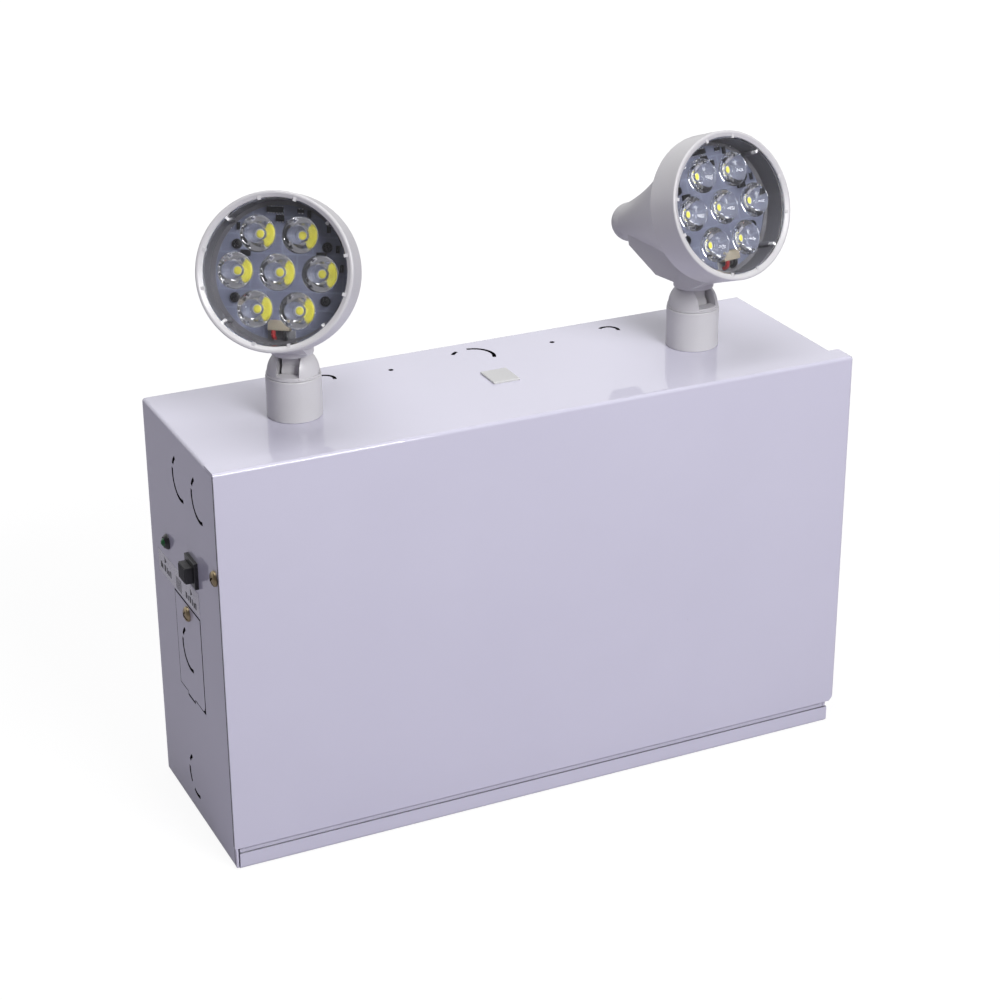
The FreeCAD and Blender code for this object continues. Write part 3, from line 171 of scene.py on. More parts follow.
# Grain: a fine height for the surface and a slow wandering of its tone
grain, given, result = new_group(
    "grain",
    [("Place", "Vector", (0, 0, 0)), ("Scale", "Float", 400.0)],
    [("Height", "Float"), ("Tone", "Float")],
)
fine = add_node(grain, "TexNoise", {
    "Vector": given.outputs["Place"], "Scale": given.outputs["Scale"], "Detail": 3.0,
})
slow_scale = add_node(grain, "Math", {0: given.outputs["Scale"], 1: 0.03}, operation="MULTIPLY")
slow = add_node(grain, "TexNoise", {
    "Vector": given.outputs["Place"], "Scale": slow_scale.outputs[0], "Detail": 4.0,
})
feed(grain, result, {"Height": fine.outputs[0], "Tone": slow.outputs[0]})

# Specks: a sparse scatter of small round marks
specks, given, result = new_group(
    "specks",
    [
        ("Place", "Vector", (0, 0, 0)), ("Scale", "Float", 30.0), ("Size", "Float", 0.02),
        ("Share", "Float", 0.4),
    ],
    [("Mask", "Float")],
)
cells = add_node(specks, "TexVoronoi", {"Vector": given.outputs["Place"], "Scale": given.outputs["Scale"]})
inner = add_node(specks, "Math", {0: given.outputs["Size"], 1: 0.5}, operation="MULTIPLY")
spot = add_node(specks, "MapRange", {
    "Value": cells.outputs["Distance"], "From Min": given.outputs["Size"], "From Max": inner.outputs[0],
})
lot = add_node(specks, "SeparateColor", {"Color": cells.outputs["Color"]})
chosen = add_node(specks, "Math", {0: lot.outputs[0], 1: given.outputs["Share"]}, operation="LESS_THAN")
mask = add_node(specks, "Math", {0: spot.outputs[0], 1: chosen.outputs[0]}, operation="MULTIPLY")
feed(specks, result, {"Mask": mask.outputs[0]})

# Sharp edges: a mask where the surface turns sharply, broken up by noise
sharp_edges, given, result = new_group(
    "sharp_edge_mask", [("Place", "Vector", (0, 0, 0)), ("Width", "Float", 0.001)], [("Mask", "Float")]
)
softened = add_node(sharp_edges, "Bevel", {"Radius": given.outputs["Width"]}, samples=4)
facing = add_node(sharp_edges, "NewGeometry")
turn = add_node(
    sharp_edges, "VectorMath", {0: softened.outputs[0], 1: facing.outputs["Normal"]}, operation="DOT_PRODUCT"
)
near = add_node(sharp_edges, "MapRange", {"Value": turn.outputs["Value"], "From Min": 0.985, "From Max": 0.80})
patchy = add_node(sharp_edges, "TexNoise", {"Vector": given.outputs["Place"], "Scale": 60.0, "Detail": 5.0})
broken = add_node(sharp_edges, "MapRange", {"Value": patchy.outputs[0], "From Min": 0.40, "From Max": 0.62})
mask = add_node(sharp_edges, "Math", {0: near.outputs[0], 1: broken.outputs[0]}, operation="MULTIPLY")
feed(sharp_edges, result, {"Mask": mask.outputs[0]})


def all_hold(tree, tests):
    """1 where every (reading, comparison, limit) is true, else 0."""
    mask = None
    for reading, comparison, limit in tests:
        held = add_node(tree, "Math", {0: reading, 1: limit}, operation=comparison).outputs[0]
        mask = add_node(tree, "Math", {0: mask, 1: held}, operation="MULTIPLY").outputs[0] if mask else held
    return mask


enamel = bpy.data.materials.new("lavender_enamel")
enamel.use_nodes = True
tree = enamel.node_tree
place = add_node(tree, "TexCoord").outputs["Object"]
peel = add_node(tree, "Group", {"Place": place, "Scale": 420.0}, node_tree=grain)
tone = add_node(tree, "MixRGB", {
    "Fac": peel.outputs["Tone"], "Color1": (0.660, 0.645, 0.765, 1), "Color2": (0.710, 0.695, 0.815, 1),
})
dust = add_node(tree, "Group", {
    "Place": place, "Scale": 26.0, "Size": 0.016, "Share": 0.22,
}, node_tree=specks)
dusty = add_node(tree, "MixRGB", {
    "Fac": dust.outputs[0], "Color1": tone.outputs[0], "Color2": (0.30, 0.28, 0.31, 1),
})
# Sharp edges lightened: partly rubbed paint, partly a painted highlight
edge_light = add_node(tree, "Group", {"Place": place, "Width": 0.0008}, node_tree=sharp_edges)
edge_light_share = add_node(tree, "Math", {0: edge_light.outputs[0], 1: 0.15}, operation="MULTIPLY")
wear_and_highlight = add_node(tree, "MixRGB", {
    "Fac": edge_light_share.outputs[0], "Color1": dusty.outputs[0], "Color2": (0.86, 0.85, 0.88, 1),
})
# The sheared edges of the slits and openings in the left wall and the top are near-black: partly bare steel,
# partly painted shade inside the slits. The lip's top edge is darkened too, a painted shadow line under the
# cover.
facing = add_node(tree, "NewGeometry").outputs["Normal"]
edgeways = add_node(tree, "VectorMath", {0: facing}, operation="ABSOLUTE").outputs[0]
sides = add_node(tree, "SeparateXYZ", {0: edgeways}).outputs
spot = add_node(tree, "SeparateXYZ", {0: place}).outputs
left_sheet, back_sheet, wall_front, wall_low, wall_high = -0.1736, 0.0535, -0.0532, 0.0025, 0.2135
top_under, top_over, top_left, top_right, top_front = 0.2147, 0.2161, -0.170, 0.168, -0.050
lip_under, lip_over, lip_back = 0.0088, 0.0092, -0.0547
edge_on, face_on = 0.4, 0.6
wall_cut = all_hold(tree, [
    (spot["X"], "LESS_THAN", left_sheet), (sides["X"], "LESS_THAN", edge_on),
    (spot["Y"], "LESS_THAN", back_sheet), (spot["Y"], "GREATER_THAN", wall_front),
    (spot["Z"], "LESS_THAN", wall_high), (spot["Z"], "GREATER_THAN", wall_low),
])
top_cut = all_hold(tree, [
    (spot["Z"], "GREATER_THAN", top_under), (spot["Z"], "LESS_THAN", top_over),
    (sides["Z"], "LESS_THAN", edge_on),
    (spot["X"], "GREATER_THAN", top_left), (spot["X"], "LESS_THAN", top_right),
    (spot["Y"], "LESS_THAN", back_sheet), (spot["Y"], "GREATER_THAN", top_front),
])
lip_shadow_line = all_hold(tree, [
    (spot["Z"], "GREATER_THAN", lip_under), (spot["Z"], "LESS_THAN", lip_over),
    (sides["Z"], "GREATER_THAN", face_on), (spot["Y"], "LESS_THAN", lip_back),
])
cuts = add_node(tree, "Math", {0: wall_cut, 1: top_cut}, operation="MAXIMUM")
lip_shadow_share = add_node(tree, "Math", {0: lip_shadow_line, 1: 0.75}, operation="MULTIPLY")
cut_edges_and_shade = add_node(tree, "Math", {0: cuts.outputs[0], 1: lip_shadow_share.outputs[0]}, operation="MAXIMUM")
bare_and_shaded = add_node(tree, "MixRGB", {
    "Fac": cut_edges_and_shade.outputs[0], "Color1": wear_and_highlight.outputs[0], "Color2": (0.02, 0.018, 0.024, 1),
})
lacquer = add_node(tree, "MapRange", {"Value": cut_edges_and_shade.outputs[0], "To Min": 1.0, "To Max": 0.0})
gloss = add_node(tree, "MapRange", {"Value": peel.outputs["Tone"], "To Min": 0.30, "To Max": 0.42})
relief = add_node(tree, "Bump", {"Height": peel.outputs["Height"], "Distance": 0.000012, "Strength": 0.6})
feed(tree, tree.nodes["Principled BSDF"], {
    "Base Color": bare_and_shaded.outputs[0], "Roughness": gloss.outputs[0], "Normal": relief.outputs[0],
    "Specular IOR Level": 0.15, "Coat Weight": lacquer.outputs[0], "Coat Roughness": 0.03,
})


def dress(material, *names):
    """Gives CAD nodes their finish."""
    for name in names:
        finishes = nodes[name].data.materials
        finishes.clear()
        finishes.append(material)


dress(enamel, "back_box", "front_cover", "access_plate")


# Caption label
# A strip of white vinyl, stuck slightly askew on the left wall above the access plate. Its print is generic:
# a pointer to each control over a row of plain bars, and a hatched patch between them.

mm = 0.001


def block(name, low, high, edge, segments=2):
    """A block between two corners in millimetres, with its edges softened."""
    bpy.ops.object.select_all(action="DESELECT")
    bpy.ops.mesh.primitive_cube_add(size=1)
    piece = bpy.context.object
    piece.name = name
    bpy.ops.object.mode_set(mode="EDIT")
    bpy.ops.mesh.select_all(action="SELECT")
    bpy.ops.transform.resize(value=[(b - a) * mm for a, b in zip(low, high)])
    bpy.ops.transform.translate(value=[(a + b) / 2 * mm for a, b in zip(low, high)])
    bpy.ops.mesh.bevel(offset=edge * mm, segments=segments, affect="EDGES")
    bpy.ops.object.mode_set(mode="OBJECT")
    bpy.ops.object.shade_smooth_by_angle(angle=radians(40))
    return piece


def joined(name, pieces):
    """One object made of several."""
    bpy.ops.object.select_all(action="DESELECT")
    for piece in pieces:
        piece.select_set(True)
    bpy.context.view_layer.objects.active = pieces[0]
    bpy.ops.object.join()
    pieces[0].name = name
    return pieces[0]


def moulded(name, dark, light, roughness, scale=900.0, depth=0.00001, metallic=0.0):
    """A finish whose tone wanders between two colours, with a fine grain in its gloss and surface."""
    material = bpy.data.materials.new(name)
    material.use_nodes = True
    tree = material.node_tree
    place = add_node(tree, "TexCoord").outputs["Object"]
    texture = add_node(tree, "Group", {"Place": place, "Scale": scale}, node_tree=grain)
    tone = add_node(tree, "MixRGB", {
        "Fac": texture.outputs["Tone"], "Color1": (*dark, 1), "Color2": (*light, 1),
    })
    gloss = add_node(tree, "MapRange", {
        "Value": texture.outputs["Height"], "To Min": roughness * 0.8, "To Max": roughness * 1.2,
    })
    relief = add_node(tree, "Bump", {"Height": texture.outputs["Height"], "Distance": depth})
    feed(tree, tree.nodes["Principled BSDF"], {
        "Base Color": tone.outputs[0], "Roughness": gloss.outputs[0], "Normal": relief.outputs[0],
        "Metallic": metallic,
    })
    return material


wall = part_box("access_plate")[0].x / mm
label = block("caption_label", (wall - 0.12, -20, 125.6), (wall, 44.5, 138.0), 0.05, 1)
for vertex in label.data.vertices:
    vertex.select = vertex.co.z > 132 * mm
bpy.ops.object.mode_set(mode="EDIT")
bpy.ops.transform.rotate(value=radians(1.6), orient_axis="X", center_override=(0, 0.012, 0.138))
bpy.ops.object.mode_set(mode="OBJECT")
label.data.materials.append(moulded(
    "white_vinyl", (0.92, 0.92, 0.92), (0.97, 0.97, 0.97), roughness=0.28, scale=1500.0,
))
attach(label, "cabinet")

prints = []
captions = {33: (41, 38.6, 35.0, 31.4, 29.0, 25.6), -8: (1.0, -2.2, -5.0, -8.6, -11.2, -14.0)}
for middle, caption in captions.items():
    bpy.ops.object.select_all(action="DESELECT")
    bpy.ops.mesh.primitive_cylinder_add(vertices=3, radius=2.1 * mm, depth=0.05 * mm)
    pointer = bpy.context.object
    bpy.ops.object.mode_set(mode="EDIT")
    bpy.ops.mesh.bevel(offset=0.02 * mm, segments=1, affect="EDGES")
    bpy.ops.object.mode_set(mode="OBJECT")
    turn = Matrix.Rotation(-pi / 2, 4, "Y") @ Matrix.Rotation(pi, 4, "Z")
    pointer.data.transform(Matrix.Translation(Vector((wall - 0.14, middle, 134.4)) * mm) @ turn)
    prints.append(pointer)
    for n, start in enumerate(caption):
        tall = (3.4, 2.8, 3.6)[n % 3]
        end = start - (2.2, 1.5)[n % 2]
        prints.append(block("bar", (wall - 0.16, end, 128), (wall - 0.12, start, 128 + tall), 0.01, 1))
for n in range(9):
    prints.append(block("hatch", (wall - 0.15, 7.6 + n, 126.6), (wall - 0.12, 8.0 + n, 133.6), 0.01, 1))
print_ink = moulded(
    "print_ink", (0.015, 0.015, 0.017), (0.05, 0.05, 0.055), roughness=0.5,
)
marks = joined("caption_print", prints)
marks.data.materials.append(print_ink)
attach(marks, "cabinet")


# Shadow strip
# A near-black strip in the gap between the left wall's front edge and the lapping cover: a dark piece that
# stands in for the shadow in that gap, painted shade.
cover_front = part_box("front_cover")[0].y / mm
shadow_strip = block(
    "painted_shadow_strip", (wall - 0.3, cover_front + 1.25, 12.4), (wall + 1.1, cover_front + 2.95, 215.0), edge=0.12,
)
shadow_strip.data.materials.append(moulded(
    "shadow_black", (0.012, 0.012, 0.014), (0.04, 0.038, 0.045), roughness=0.8, scale=900.0, depth=0.00008,
))
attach(shadow_strip, "cabinet")


# Corner ears
# Two small painted ears folded from the sheet at the foot of the front. The left one carries the wall forward
# to the lip's end, and the right one closes the corner behind the lip.
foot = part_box("front_cover")[0] / mm
ears = joined("corner_ears", [
    block("ear", (wall + 0.05, foot.y + 0.3, 1.0), (wall + 1.25, foot.y + 2.95, 11.9), edge=0.12),
    block("ear", (169.35, foot.y + 1.9, foot.z + 0.3), (172.15, foot.y + 2.7, 12.0), edge=0.12),
])
ears.data.materials.append(enamel)
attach(ears, "cabinet")


# Panel screws
# Two nickelled brass pan-head screws, cold-headed with a slot and cross recess, with rolled threads. One holds
# the cover through the left wall and one holds the access plate to the ledge behind it.

def turned(name, rings, steps=48):
    """A piece turned about Z, from rings of (radius, height) in millimetres along its outline."""
    bpy.ops.object.select_all(action="DESELECT")
    radius, height = rings[0]
    bpy.ops.mesh.primitive_circle_add(vertices=steps, radius=radius * mm)
    piece = bpy.context.object
    piece.name = name
    bpy.ops.object.mode_set(mode="EDIT")
    bpy.ops.mesh.select_all(action="SELECT")
    bpy.ops.transform.translate(value=(0, 0, height * mm))
    for wide, high in rings[1:]:
        bpy.ops.mesh.extrude_region_move(TRANSFORM_OT_translate={"value": (0, 0, (high - height) * mm)})
        bpy.ops.transform.resize(
            value=(wide / radius, wide / radius, 1), center_override=(0, 0, high * mm),
        )
        radius, height = wide, high
    bpy.ops.mesh.select_all(action="SELECT")
    bpy.ops.mesh.remove_doubles(threshold=0.004 * mm)
    bpy.ops.mesh.normals_make_consistent(inside=False)
    bpy.ops.object.mode_set(mode="OBJECT")
    bpy.ops.object.shade_smooth_by_angle(angle=radians(35))
    return piece


def carved(piece, cutters):
    """Takes the cutters out of a piece and throws them away."""
    for cutter in cutters:
        bpy.ops.object.select_all(action="DESELECT")
        piece.select_set(True)
        bpy.context.view_layer.objects.active = piece
        carving = piece.modifiers.new("recess", "BOOLEAN")
        carving.object = cutter
        carving.solver = "EXACT"
        bpy.ops.object.modifier_apply(modifier=carving.name)
        bpy.data.objects.remove(cutter)
    bpy.ops.object.shade_smooth_by_angle(angle=radians(35))
    return piece


def copied(piece, name, matrix):
    """A copy with its own mesh, moved by matrix."""
    twin = piece.copy()
    twin.data = piece.data.copy()
    twin.name = name
    scene.collection.objects.link(twin)
    twin.data.transform(matrix)
    return twin


thread = [(1.55 if n % 2 else 1.9, -8 + 0.4 * n) for n in range(1, 20)]
pan_head = [
    (4.0, 0), (4.0, 0.5), (3.9, 0.9), (3.55, 1.35), (3.0, 1.75), (2.2, 2.05), (1.2, 2.18), (0.001, 2.2),
]
screw = turned("screw", [(0.001, -8), (1.2, -8)] + thread + [(1.9, 0)] + pan_head, steps=40)
slot = block("slot", (-4.2, -0.5, 1.0), (4.2, 0.5, 3), 0.12, 1)
cross = block("cross", (-0.5, -2.3, 0.9), (0.5, 2.3, 3), 0.12, 1)
carved(screw, [slot, cross])
outward = Matrix.Rotation(-pi / 2, 4, "Y")
low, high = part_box("panel_screws")
cover_spot = Matrix.Translation((wall * mm, low.y + 0.004, high.z - 0.004))
plate_spot = Matrix.Translation((wall * mm, high.y - 0.004, low.z + 0.004))
second = copied(screw, "second_screw", plate_spot @ outward @ Matrix.Rotation(radians(62), 4, "Z"))
screw.data.transform(cover_spot @ outward @ Matrix.Rotation(radians(35), 4, "Z"))
screws = joined("nickelled_screws", [screw, second])
screws.data.materials.append(moulded(
    "nickelled_brass", (0.22, 0.17, 0.10), (0.42, 0.34, 0.22), roughness=0.32, scale=1400.0, metallic=1.0,
))
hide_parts("panel_screws")
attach(screws, "cabinet")


# Blanking plug
# A pale nylon cap moulded with two sprung legs, pushed into the spare square hole in the cabinet's top.
dress(moulded(
    "pale_nylon", (0.60, 0.60, 0.60), (0.68, 0.68, 0.67), roughness=0.5, scale=1200.0, depth=0.00002,
), "blanking_plug")


# Charge indicator
# A green round-nosed LED in a black snap-in holder: the LED's epoxy is cast and the holder is moulded. It is
# pushed through the left wall from outside.
holder_outline = [
    (2.55, 7), (3.05, 7), (3.05, 0), (4.1, 0), (4.1, -0.45), (3.95, -0.75), (3.1, -1.95), (2.95, -2.15),
    (2.75, -2.2), (2.58, -2.1), (2.55, -1.9), (2.55, 7),
]
led_outline = [(0.001, 8), (2.9, 8), (2.9, 7.1), (2.5, 7), (2.5, -1.1)] + [
    (2.5 * cos(radians(a)), -1.1 - 2.5 * sin(radians(a))) for a in range(10, 90, 10)
] + [(0.001, -3.6)]
holder = turned("indicator_holder", holder_outline)
led = turned("indicator_lamp", led_outline)
low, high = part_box("indicator_bezel")
hole = Vector((wall * mm, (low.y + high.y) / 2, (low.z + high.z) / 2))
in_wall = Matrix.Translation(hole) @ Matrix.Rotation(pi / 2, 4, "Y")
black_moulding = moulded(
    "black_moulding", (0.012, 0.012, 0.014), (0.024, 0.024, 0.027),
    roughness=0.32, scale=1600.0, depth=0.00002,
)
green_epoxy = moulded(
    "green_epoxy", (0.004, 0.09, 0.02), (0.012, 0.24, 0.06), roughness=0.08, scale=500.0, depth=0.000002,
)
for piece, node, slot_name, finish in (
    (holder, "indicator_bezel", "black_plastic", black_moulding),
    (led, "indicator_led", "green_lens", green_epoxy),
):
    piece.data.transform(in_wall)
    piece.data.materials.append(finish)
    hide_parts(node)
    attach(piece, "cabinet")


# Test switch
# A black snap-in push switch: a glossy moulded bezel and body, tin-plated blades behind, and a button whose
# face is ribbed for the fingertip.
dress(black_moulding, "switch_body")
tinned = moulded(
    "tinned_steel", (0.48, 0.48, 0.50), (0.70, 0.70, 0.72), roughness=0.34, scale=1200.0, metallic=1.0,
)
dress(tinned, "switch_terminals")
low, high = [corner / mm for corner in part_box("test_button")]
button = block("ribbed_button", (low.x + 0.5, low.y, low.z), high, 0.35)
ribs = [
    block("rib", (low.x, y + 0.55, low.z + 0.5), (low.x + 0.9, y + 1.55, high.z - 0.5), edge=0.3)
    for y in [low.y + 1.6 * n for n in range(6)]
]
button = joined("ribbed_button", [button] + ribs)
button.data.materials.append(moulded(
    "button_black", (0.018, 0.018, 0.02), (0.035, 0.035, 0.038), roughness=0.42, scale=1600.0, depth=0.00002,
))
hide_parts("test_button")
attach(button, "test_button")


# Battery
# A sealed lead-acid battery in a dark grey case with tin-plated blades, strapped to the cabinet's back and
# floor by a zinc-plated band and two pan-head screws.
zinc = moulded(
    "zinc_plate", (0.42, 0.43, 0.46), (0.66, 0.67, 0.70), roughness=0.36, scale=700.0, metallic=1.0,
)
dress(moulded(
    "battery_case", (0.025, 0.025, 0.028), (0.05, 0.05, 0.055), roughness=0.55, scale=500.0, depth=0.00003,
), "battery")
dress(tinned, "battery_terminals")
dress(zinc, "battery_strap", "strap_screws")


# Transformer
# Stacked silicon-steel laminations with a taped copper winding on the middle leg, clamped by a zinc-plated
# channel that is screwed to the back wall.
laminations = bpy.data.materials.new("laminations")
laminations.use_nodes = True
tree = laminations.node_tree
place = add_node(tree, "TexCoord").outputs["Object"]
sheets = add_node(tree, "TexWave", {"Vector": place, "Scale": 300.0, "Distortion": 0.4}, bands_direction="Y")
tone = add_node(tree, "MixRGB", {
    "Fac": sheets.outputs[0], "Color1": (0.05, 0.05, 0.055, 1), "Color2": (0.24, 0.24, 0.25, 1),
})
relief = add_node(tree, "Bump", {"Height": sheets.outputs[0], "Distance": 0.00005})
feed(tree, tree.nodes["Principled BSDF"], {
    "Base Color": tone.outputs[0], "Roughness": 0.55, "Metallic": 0.7, "Normal": relief.outputs[0],
})
dress(laminations, "transformer_core")
dress(moulded(
    "taped_winding", (0.42, 0.27, 0.05), (0.60, 0.42, 0.10), roughness=0.35, scale=350.0, depth=0.00004,
), "transformer_coil")
dress(zinc, "transformer_frame", "transformer_screws")


# Charger board
# A green circuit board on zinc-plated posts, with a blue relay, two sleeved capacitors and a green screw
# terminal block, soldered from the back.
dress(moulded(
    "charger_mask", (0.01, 0.10, 0.035), (0.03, 0.20, 0.07), roughness=0.3, scale=260.0, depth=0.00002,
), "charger_board")
dress(zinc, "board_standoffs", "charger_screws")
dress(moulded(
    "relay_blue", (0.02, 0.05, 0.22), (0.04, 0.09, 0.34), roughness=0.28, scale=900.0,
), "relay")
dress(moulded(
    "capacitor_sleeve", (0.008, 0.010, 0.03), (0.02, 0.024, 0.06), roughness=0.25, scale=900.0,
), "capacitors")
dress(moulded(
    "terminal_green", (0.02, 0.16, 0.06), (0.05, 0.26, 0.11), roughness=0.4, scale=900.0,
), "terminal_block")


# Cabinet leads
# Stranded wires in PVC insulation: red and black from the battery, a yellow pair to the test switch, and a
# black twin lead up to each swivel's hollow stem.
red_pvc = moulded(
    "red_pvc", (0.20, 0.010, 0.012), (0.32, 0.02, 0.02), roughness=0.35, scale=900.0,
)
black_pvc = moulded(
    "black_pvc", (0.012, 0.012, 0.013), (0.03, 0.03, 0.032), roughness=0.38, scale=900.0,
)
dress(red_pvc, "battery_lead_red")
dress(black_pvc, "battery_lead_black", "left_lamp_lead", "right_lamp_lead")
dress(moulded(
    "yellow_pvc", (0.52, 0.36, 0.02), (0.70, 0.52, 0.06), roughness=0.38, scale=900.0,
), "switch_leads")


# Swivels
# Collar and slotted dome are injection-moulded in warm grey-white plastic with a satin skin. The collar's stud
# goes through the top and takes a zinc nut inside. The dome's stem turns in it, held by a clip, and a pin
# carries the head.
satin_moulding = bpy.data.materials.new("warm_white_moulding")
satin_moulding.use_nodes = True
tree = satin_moulding.node_tree
place = add_node(tree, "TexCoord").outputs["Object"]
skin = add_node(tree, "Group", {"Place": place, "Scale": 1500.0}, node_tree=grain)
tone = add_node(tree, "MixRGB", {
    "Fac": skin.outputs["Tone"], "Color1": (0.660, 0.650, 0.662, 1), "Color2": (0.720, 0.710, 0.725, 1),
})
fluff = add_node(tree, "Group", {
    "Place": place, "Scale": 60.0, "Size": 0.03, "Share": 0.25,
}, node_tree=specks)
flecked = add_node(tree, "MixRGB", {
    "Fac": fluff.outputs[0], "Color1": tone.outputs[0], "Color2": (0.42, 0.40, 0.38, 1),
})
gloss = add_node(tree, "MapRange", {"Value": skin.outputs["Height"], "To Min": 0.24, "To Max": 0.36})
relief = add_node(tree, "Bump", {"Height": skin.outputs["Height"], "Distance": 0.000008})
feed(tree, tree.nodes["Principled BSDF"], {
    "Base Color": flecked.outputs[0], "Roughness": gloss.outputs[0], "Normal": relief.outputs[0],
})
for side in ("left", "right"):
    dress(satin_moulding, f"{side}_collar", f"{side}_dome")
    dress(zinc, f"{side}_locknut", f"{side}_pin", f"{side}_retainer")


# Lamp housings
# One bell-shaped moulding each, in the swivel's plastic: a drum with a stepped rim, a bell that runs back to a
# round tail, a keel underneath, and a tongue that drops into the dome's slot.
rim_from_pin = (0, -0.0292, 0.0612)
nose_down = radians(19.8)
in_head = {}
for side in ("left", "right"):
    tilt = next(joint for joint in frame["joints"] if joint["name"] == f"{side}_tilt")
    pan = atan2(tilt["axis"][1], tilt["axis"][0])
    at_pin = Matrix.Translation(tilt["pos_m"]) @ Matrix.Rotation(pan, 4, "Z")
    raised = Matrix.Rotation(radians(90) - nose_down, 4, "X")
    in_head[side] = at_pin @ Matrix.Translation(rim_from_pin) @ raised
    dress(satin_moulding, f"{side}_housing")


# Shade rings
# A near-black grey ring in each drum, painted shade for the drum's shaded inner wall. Its wall is finely
# ribbed, its foot holds down the edge of the LED board, and a channel in it slides over each of the housing's
# long ribs, hiding them in the same painted shade.
steps = 288
shade_ring = turned("shade_ring", [
    (32.4, -15.95), (32.4, -15.6), (34.4, -15.4), (34.75, -15.0), (34.75, -4.0), (35.0, -3.7), (35.1, -3.9),
    (35.1, -15.95), (32.4, -15.95),
], steps)
for vertex in shade_ring.data.vertices:
    around = atan2(vertex.co.y, vertex.co.x) * steps / (2 * pi)
    vertex.select = round(around) % 2 == 0 and 34.7 * mm < vertex.co.to_2d().length < 34.8 * mm
bpy.ops.object.mode_set(mode="EDIT")
bpy.ops.mesh.select_mode(type="VERT")
bpy.ops.transform.resize(value=(0.991, 0.991, 1), center_override=(0, 0, 0))
bpy.ops.object.mode_set(mode="OBJECT")
channels = []
for angle in (45, 135, 225, 315):
    channel = block("channel", (32.8, -1.2, -15.6), (35.0, 1.2, -6.8), 0.3)
    channel.data.transform(Matrix.Rotation(radians(angle), 4, "Z"))
    channels.append(channel)
shade_ring = joined("shade_ring", [shade_ring] + channels)
# Dark grey as painted shade, far darker than the housing's own plastic
shade_ring.data.materials.append(moulded(
    "painted_shade_grey", (0.070, 0.069, 0.078), (0.108, 0.106, 0.118), roughness=0.45, scale=1200.0,
))
for side in ("left", "right"):
    shade_copy = copied(shade_ring, f"{side}_painted_shade_ring", in_head[side])
    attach(shade_copy, f"{side}_head")
bpy.data.objects.remove(shade_ring)


# LED boards
# Each is a round aluminium-cored circuit board with a blue-grey solder mask over its copper, held to the posts
# by four blackened cross-recess screws. A driver, diodes and resistors sit between the LEDs, and a connector
# at the foot. The mask is painted darker than its own blue-grey, as shade inside the drum.

def shaded_board_mask(side):
    """The solder mask, with its copper showing through as slightly paler tracks, painted darker as shade
    inside the drum.
    """
    material = bpy.data.materials.new(f"{side}_shaded_solder_mask")
    material.use_nodes = True
    tree = material.node_tree
    place = add_node(tree, "TexCoord").outputs["Object"]
    middle, turn, _ = in_head[side].decompose()
    flat = add_node(tree, "Mapping", {
        "Vector": place, "Location": middle, "Rotation": turn.to_euler(),
    }, vector_type="TEXTURE")
    texture = add_node(tree, "Group", {"Place": flat.outputs[0], "Scale": 500.0}, node_tree=grain)
    # The mask's blue-grey and its tracks are painted darker than their own colour: painted shade inside the
    # drum
    tone = add_node(tree, "MixRGB", {
        "Fac": texture.outputs["Tone"],
        "Color1": (0.086, 0.095, 0.140, 1), "Color2": (0.130, 0.140, 0.198, 1),
    })
    tracks = add_node(tree, "TexBrick", {
        "Vector": flat.outputs[0], "Color1": (0, 0, 0, 1), "Color2": (0, 0, 0, 1), "Mortar": (1, 1, 1, 1),
        "Scale": 40.0, "Mortar Size": 0.02, "Mortar Smooth": 0.2, "Brick Width": 0.6, "Row Height": 0.35,
    })
    share = add_node(tree, "Math", {0: tracks.outputs["Color"], 1: 0.45}, operation="MULTIPLY")
    tracked = add_node(tree, "MixRGB", {
        "Fac": share.outputs[0], "Color1": tone.outputs[0], "Color2": (0.165, 0.178, 0.24, 1),
    })
    relief = add_node(tree, "Bump", {"Height": tracks.outputs["Color"], "Distance": 0.00003})
    feed(tree, tree.nodes["Principled BSDF"], {
        "Base Color": tracked.outputs[0], "Roughness": 0.34, "Normal": relief.outputs[0],
    })
    return material


face = -16.0
screw_ring = 25.5
chip_black = moulded(
    "chip_black", (0.004, 0.004, 0.005), (0.009, 0.009, 0.010), roughness=0.5, scale=1800.0,
)
chip_black.node_tree.nodes["Principled BSDF"].inputs["Specular IOR Level"].default_value = 0.15
# The connector's cream nylon is painted in a darker tone: painted shade inside the drum
shaded_cream_nylon = moulded(
    "shaded_cream_nylon", (0.20, 0.175, 0.13), (0.29, 0.255, 0.20), roughness=0.45, scale=900.0,
)
silicone = moulded(
    "grey_silicone", (0.09, 0.09, 0.10), (0.15, 0.15, 0.16), roughness=0.4, scale=500.0, depth=0.00005,
)
chips = []
legs = []
for x, y, long, wide, tall, count in (
    (-8, 28.4, 8, 2.6, 1.6, 6), (-3.4, 24.2, 4, 3, 1.4, 3), (1.6, 21.4, 3, 3, 1.2, 2),
    (6.8, 28.6, 3.2, 1.6, 1, 2),
):
    chips.append(block("chip", (x, y, face + 0.15), (x + long, y + wide, face + tall), 0.15))
    for n in range(count):
        at = x + (n + 0.5) * long / count
        end = y + wide + 0.5
        legs.append(block("leg", (at - 0.28, y - 0.5, face), (at + 0.28, end, face + 0.3), 0.05, 1))
diodes = [
    block("diode", (x - 2.4, y - 1.5, face + 0.1), (x + 2.4, y + 1.5, face + 1.8), 0.25)
    for x, y in ((-17.6, 8.6), (19.4, 8.8))
]
resistors = [
    block("resistor", (x - 0.9, y - 1.8, face + 0.05), (x + 0.9, y + 1.8, face + 1.0), 0.12)
    for x, y in ((29.4, 3.0), (27.2, 12.0), (22.4, 21.4), (12.6, 28.0), (-21.6, 21.2))
]
connector = block("connector", (-4.4, -27.6, face), (6.2, -22.6, face + 5.4), 0.3)
bead = block("bead", (-5.4, -32.0, face - 0.5), (8.4, -27.2, face + 0.3), 0.35)
for pieces, finish in (
    (chips + diodes + resistors, chip_black), (legs, tinned), ([connector], shaded_cream_nylon), ([bead], silicone),
):
    for piece in pieces:
        piece.data.materials.append(finish)
fitted = joined("board_parts", chips + legs + diodes + resistors + [connector, bead])

